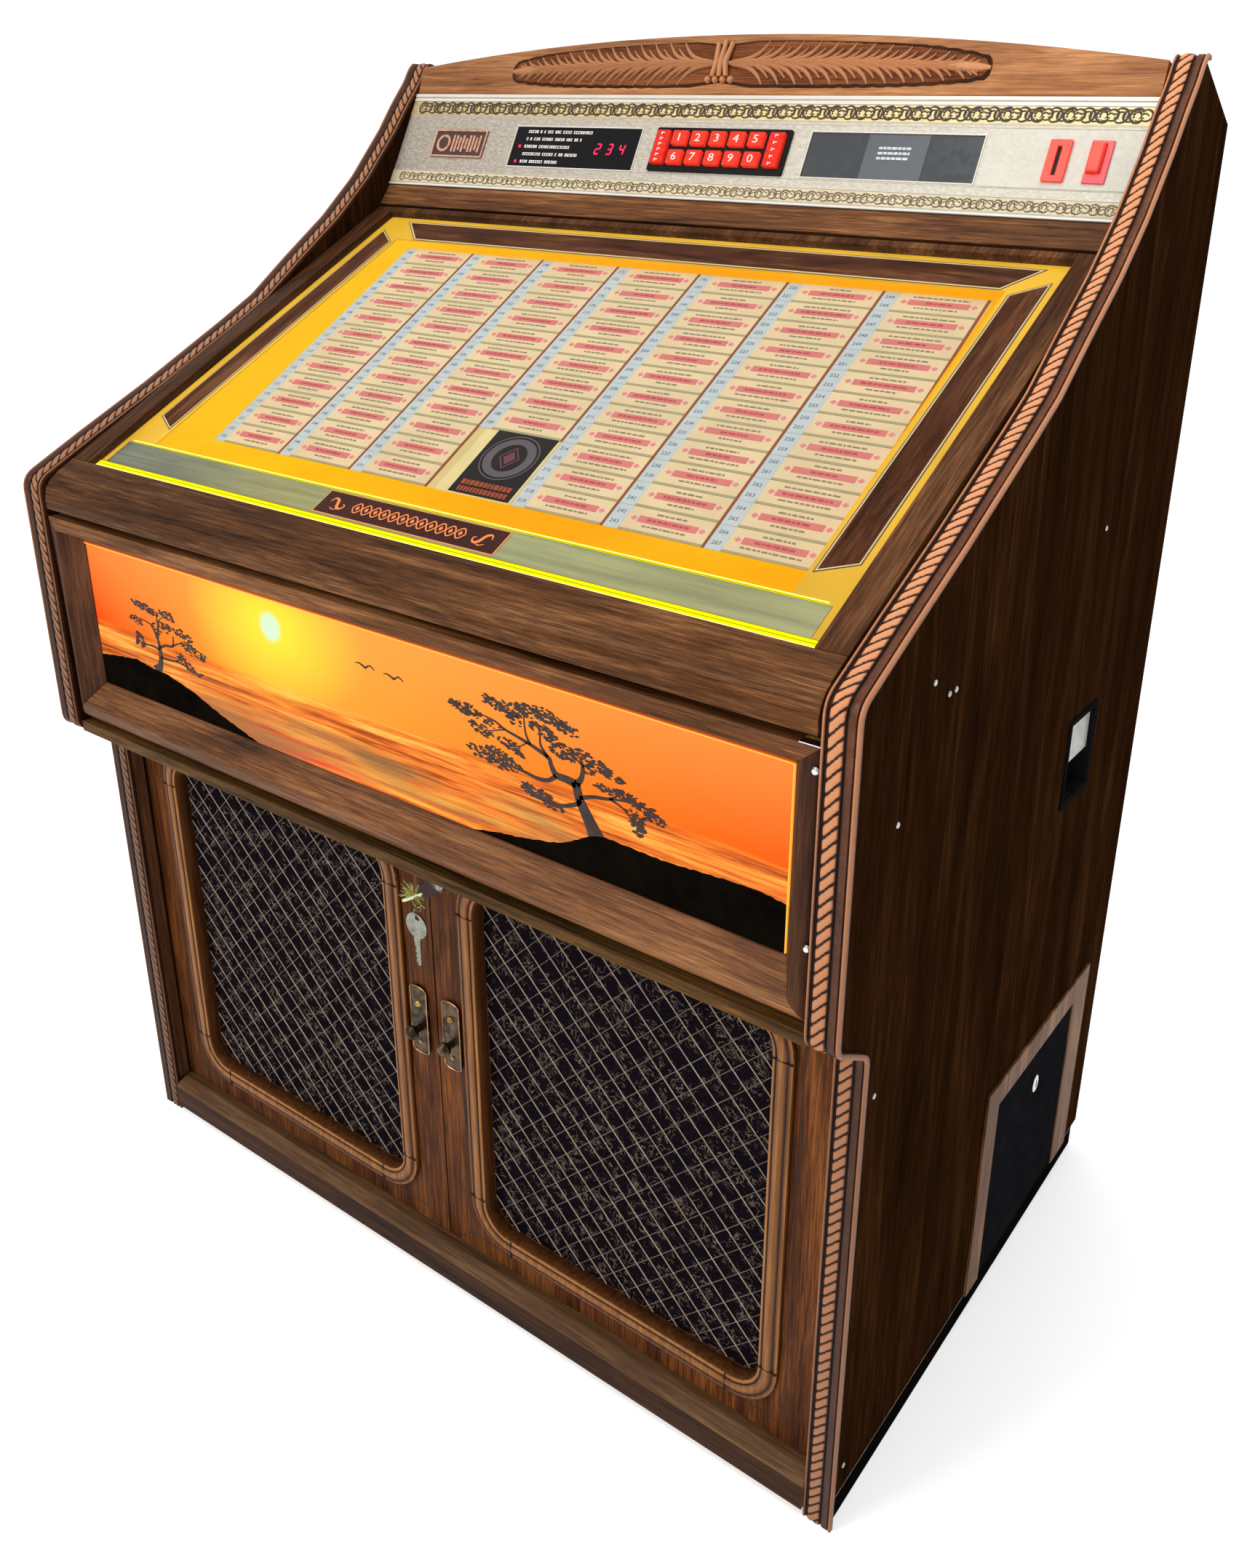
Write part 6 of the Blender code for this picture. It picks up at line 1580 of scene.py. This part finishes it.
for side, s in (("left", -1), ("right", 1)):
    paint("speaker_" + side, BLACK, 0.0)
    # Cone, rolled surround and dust cap seen through the open doors.
    b = Build()
    q = basis((s * 0.235, -0.233, 0.300), (1, 0, 0), (0, 0, 1))
    b.lathe([(0, -0.0020), (0.0330, -0.0020), (0.0330, 0.0012), (0.0300, 0.0060), (0.0200, 0.0100), (0.0100, 0.0120), (0, 0.0126)], 36, q)
    b.obj("dust_cap_" + side, RUBBER, "cabinet", 50)
    b = Build()
    prof = []
    for i in range(13):
        a = math.pi * i / 12
        prof.append((0.1080 - 0.0090 * math.cos(a), 0.0010 + 0.0070 * math.sin(a)))
    outer = [(r, z) for r, z in prof]
    loops = []
    ns = 48
    ring = outer + [(0.1170, 0.0), (0.0990, 0.0)]
    for i in range(ns):
        a = 2 * math.pi * i / ns
        loops.append([(r * math.cos(a), r * math.sin(a), z) for r, z in ring])
    b.loft(loops, q, False, True)
    b.obj("speaker_surround_" + side, RUBBER, "cabinet", 50)
    b = Build()
    for i in range(8):
        a = 2 * math.pi * (i + 0.5) / 8
        screw_head(b, q @ Matrix.Translation((0.1215 * math.cos(a), 0.1215 * math.sin(a), 0.0006)), 0.0036, 0.0014)
    b.obj("speaker_screws_" + side, STEEL, "cabinet", 40)
# Records standing between the magazine blades.
labels = [LABEL, speckled("label_blue", "2f5f8c", "214766", 160, 0.6, 0, 0.6, 0.05), speckled("label_cream", "d9cfae", "b9ae88", 160, 0.6, 0, 0.6, 0.05)]
b, caps = Build(), [Build(), Build(), Build()]
mc = Vector((-0.14, 0.045, 0.6805))
for i in range(40):
    a = math.radians(9 * i)
    u = Vector((math.cos(a), math.sin(a), 0))
    q = basis(mc + u * 0.1735, u, (0, 0, 1))
    b.lathe([(0, -0.0007), (0.0360, -0.0007), (0.0380, -0.0005), (0.0840, -0.0005), (0.0862, -0.0008), (0.0872, 0.0), (0.0862, 0.0008),
             (0.0840, 0.0005), (0.0380, 0.0005), (0.0360, 0.0007), (0, 0.0007)], 40, q)
    k = caps[(i * 7) % 3]
    k.lathe([(0, -0.0009), (0.0340, -0.0009), (0.0340, 0.0009), (0, 0.0009)], 28, q)
b.obj("records", VINYL, "magazine", 30)
for i, k in enumerate(caps):
    k.obj("record_labels_%d" % i, labels[i], "magazine", 30)
b = Build()
b.lathe([(0, 0.0), (0.0340, 0.0), (0.0340, 0.0030), (0.0300, 0.0050), (0.0080, 0.0050), (0.0080, 0.0120), (0.0050, 0.0150), (0, 0.0150)], 32,
        Matrix.Translation((-0.14, 0.045, 0.7680)))
b.obj("magazine_hub_cap", CHROME, "magazine", 40)
# Turntable mat, clamp and drive label.
b = Build()
q = basis((0.300, 0.0543, 0.690), (1, 0, 0), (0, 0, 1))
b.lathe([(0, -0.0004), (0.0830, -0.0004), (0.0830, 0.0006), (0.0800, 0.0010), (0.0500, 0.0010), (0.0480, 0.0014), (0, 0.0014)], 48, q)
b.obj("turntable_mat", RUBBER, "platter", 40)
b = Build()
for i in range(36):
    a = 2 * math.pi * i / 36
    b.box((0.0840 * math.cos(a) - 0.0012, 0.0840 * math.sin(a) - 0.0012, -0.0002),
          (0.0840 * math.cos(a) + 0.0012, 0.0840 * math.sin(a) + 0.0012, 0.0004), q)
b.lathe([(0, 0.0010), (0.0110, 0.0010), (0.0110, 0.0030), (0.0090, 0.0044), (0, 0.0044)], 24, q)
b.obj("turntable_dots", CHROME, "platter", 40)
# Amplifier front: fins, sockets and generic knobs.
b = Build()
for i in range(16):
    x = -0.185 + i * 0.0125
    b.box((x, 0.1440, 0.0520), (x + 0.0030, 0.1502, 0.1340))
b.obj("amplifier_fins", BLACK_METAL, "cabinet", bevel=0.0004, seg=1)
b = Build()
for x, z in ((0.040, 0.115), (0.070, 0.115), (0.100, 0.115), (0.130, 0.115)):
    b.lathe([(0, 0), (0.0085, 0), (0.0080, 0.0100), (0.0072, 0.0115), (0, 0.0115)], 24, basis((x, 0.1500, z), (1, 0, 0), (0, 0, 1)))
b.obj("amplifier_knobs", CHROME, "cabinet", 40)
b = Build()
for i in range(5):
    b.box((0.032 + i * 0.022, 0.1486, 0.066), (0.048 + i * 0.022, 0.1502, 0.084))
b.obj("amplifier_sockets", WHITE, "cabinet", bevel=0.0004, seg=1)
# Lid underside: lamp ballast cover under the title board.
b = Build()
b.box((-0.340, -0.250, -0.0560), (0.340, -0.205, -0.0440), LIDF)
b.obj("title_lamp_cover", WHITE, "lid", bevel=0.0015)

# ==================================================================== back
b = Build()
for z in (0.080, 0.420, 0.780, 1.120, 1.210):
    for x in (-0.455, 0.455):
        screw_head(b, basis((x, 0.3450, z), (-1, 0, 0), (0, 0, 1)), 0.0042, 0.0016)
for x in (-0.23, 0.0, 0.23):
    for z in (0.045, 1.230):
        screw_head(b, basis((x, 0.3450, z), (-1, 0, 0), (0, 0, 1)), 0.0042, 0.0016)
b.obj("back_screws", STEEL, "cabinet", 40)
b = Build()
b.box((-0.120, 0.3447, 0.1750), (0.040, 0.3456, 0.2650))
b.obj("rating_plate", speckled("blank_plate", "b7b9b6", "9a9c99", 200, 0.4, 0.7, 0.5, 0.1), "cabinet", bevel=0.0003, seg=1)
b = Build()
for x, z in ((-0.115, 0.180), (0.035, 0.180), (-0.115, 0.260), (0.035, 0.260)):
    screw_head(b, basis((x, 0.3455, z), (-1, 0, 0), (0, 0, 1)), 0.0020, 0.0009)
b.obj("plate_rivets", CHROME, "cabinet", 40)
b = Build()
for x, y in ((-0.43, -0.24), (0.43, -0.24), (-0.43, 0.28), (0.43, 0.28)):
    b.lathe([(0, 0.0002), (0.0160, 0.0002), (0.0175, 0.0020), (0.0175, 0.0080), (0.0140, 0.0100), (0, 0.0100)], 24, Matrix.Translation((x, y, 0.0)))
b.obj("feet", RUBBER, "cabinet", 40)

# ===================================================== floor, walls and light
def big_plane(name, loops, mat):
    me = bpy.data.meshes.new(name)
    n = len(loops[0])
    me.from_pydata([p for l in loops for p in l], [],
                   [(a * n + i, a * n + i + 1, (a + 1) * n + i + 1, (a + 1) * n + i)
                    for a in range(len(loops) - 1) for i in range(n - 1)])
    me.materials.append(mat)
    me.shade_smooth()
    o = bpy.data.objects.new(name, me)
    scene.collection.objects.link(o)
    return o


w = Mat("studio_floor", 0.9, Specular_IOR_Level=0.1, Emission_Color=(1, 1, 1, 1), Emission_Strength=0.34)
w.link(w.ramp(w.noise(w.coords(), 1.5, 2), [(0.3, (0.93, 0.93, 0.93, 1)), (0.7, (0.95, 0.95, 0.95, 1))]), "Base Color")
sweep = [(-30.0, -0.0002), (0.0, -0.0002), (2.6, -0.0002)]
sweep += [(2.6 + 2.2 * math.sin(math.radians(a)), 2.2 - 2.2002 * math.cos(math.radians(a))) for a in range(10, 91, 10)]
sweep += [(4.8, 20.0)]
big_plane("studio_floor", [[(x, y, z) for x in (-30, 0, 30)] for y, z in sweep], w.m)

world = bpy.data.worlds.new("studio")
scene.world = world
world.use_nodes = True
bg = world.node_tree.nodes["Background"]
bg.inputs["Color"].default_value = (1.0, 1.0, 1.0, 1)
bg.inputs["Strength"].default_value = 0.60


def area(name, loc, target, size, power, colour=(1, 1, 1)):
    d = bpy.data.lights.new(name, "AREA")
    d.shape = "RECTANGLE"
    d.size, d.size_y = size
    d.energy = power
    d.color = colour
    o = bpy.data.objects.new(name, d)
    scene.collection.objects.link(o)
    o.location = loc
    o.rotation_mode = "QUATERNION"
    o.rotation_quaternion = (Vector(target) - Vector(loc)).to_track_quat("-Z", "Y")
    return o


area("key_light", (-1.3, -2.6, 2.6), (0, 0, 0.7), (1.6, 1.6), 62, (1, 0.98, 0.95))
area("fill_light", (1.9, -2.6, 1.3), (0, 0, 0.7), (2.0, 1.6), 6, (1, 0.99, 0.98))
area("top_light", (0.2, -0.4, 3.2), (0, 0, 0.9), (2.2, 1.6), 30)
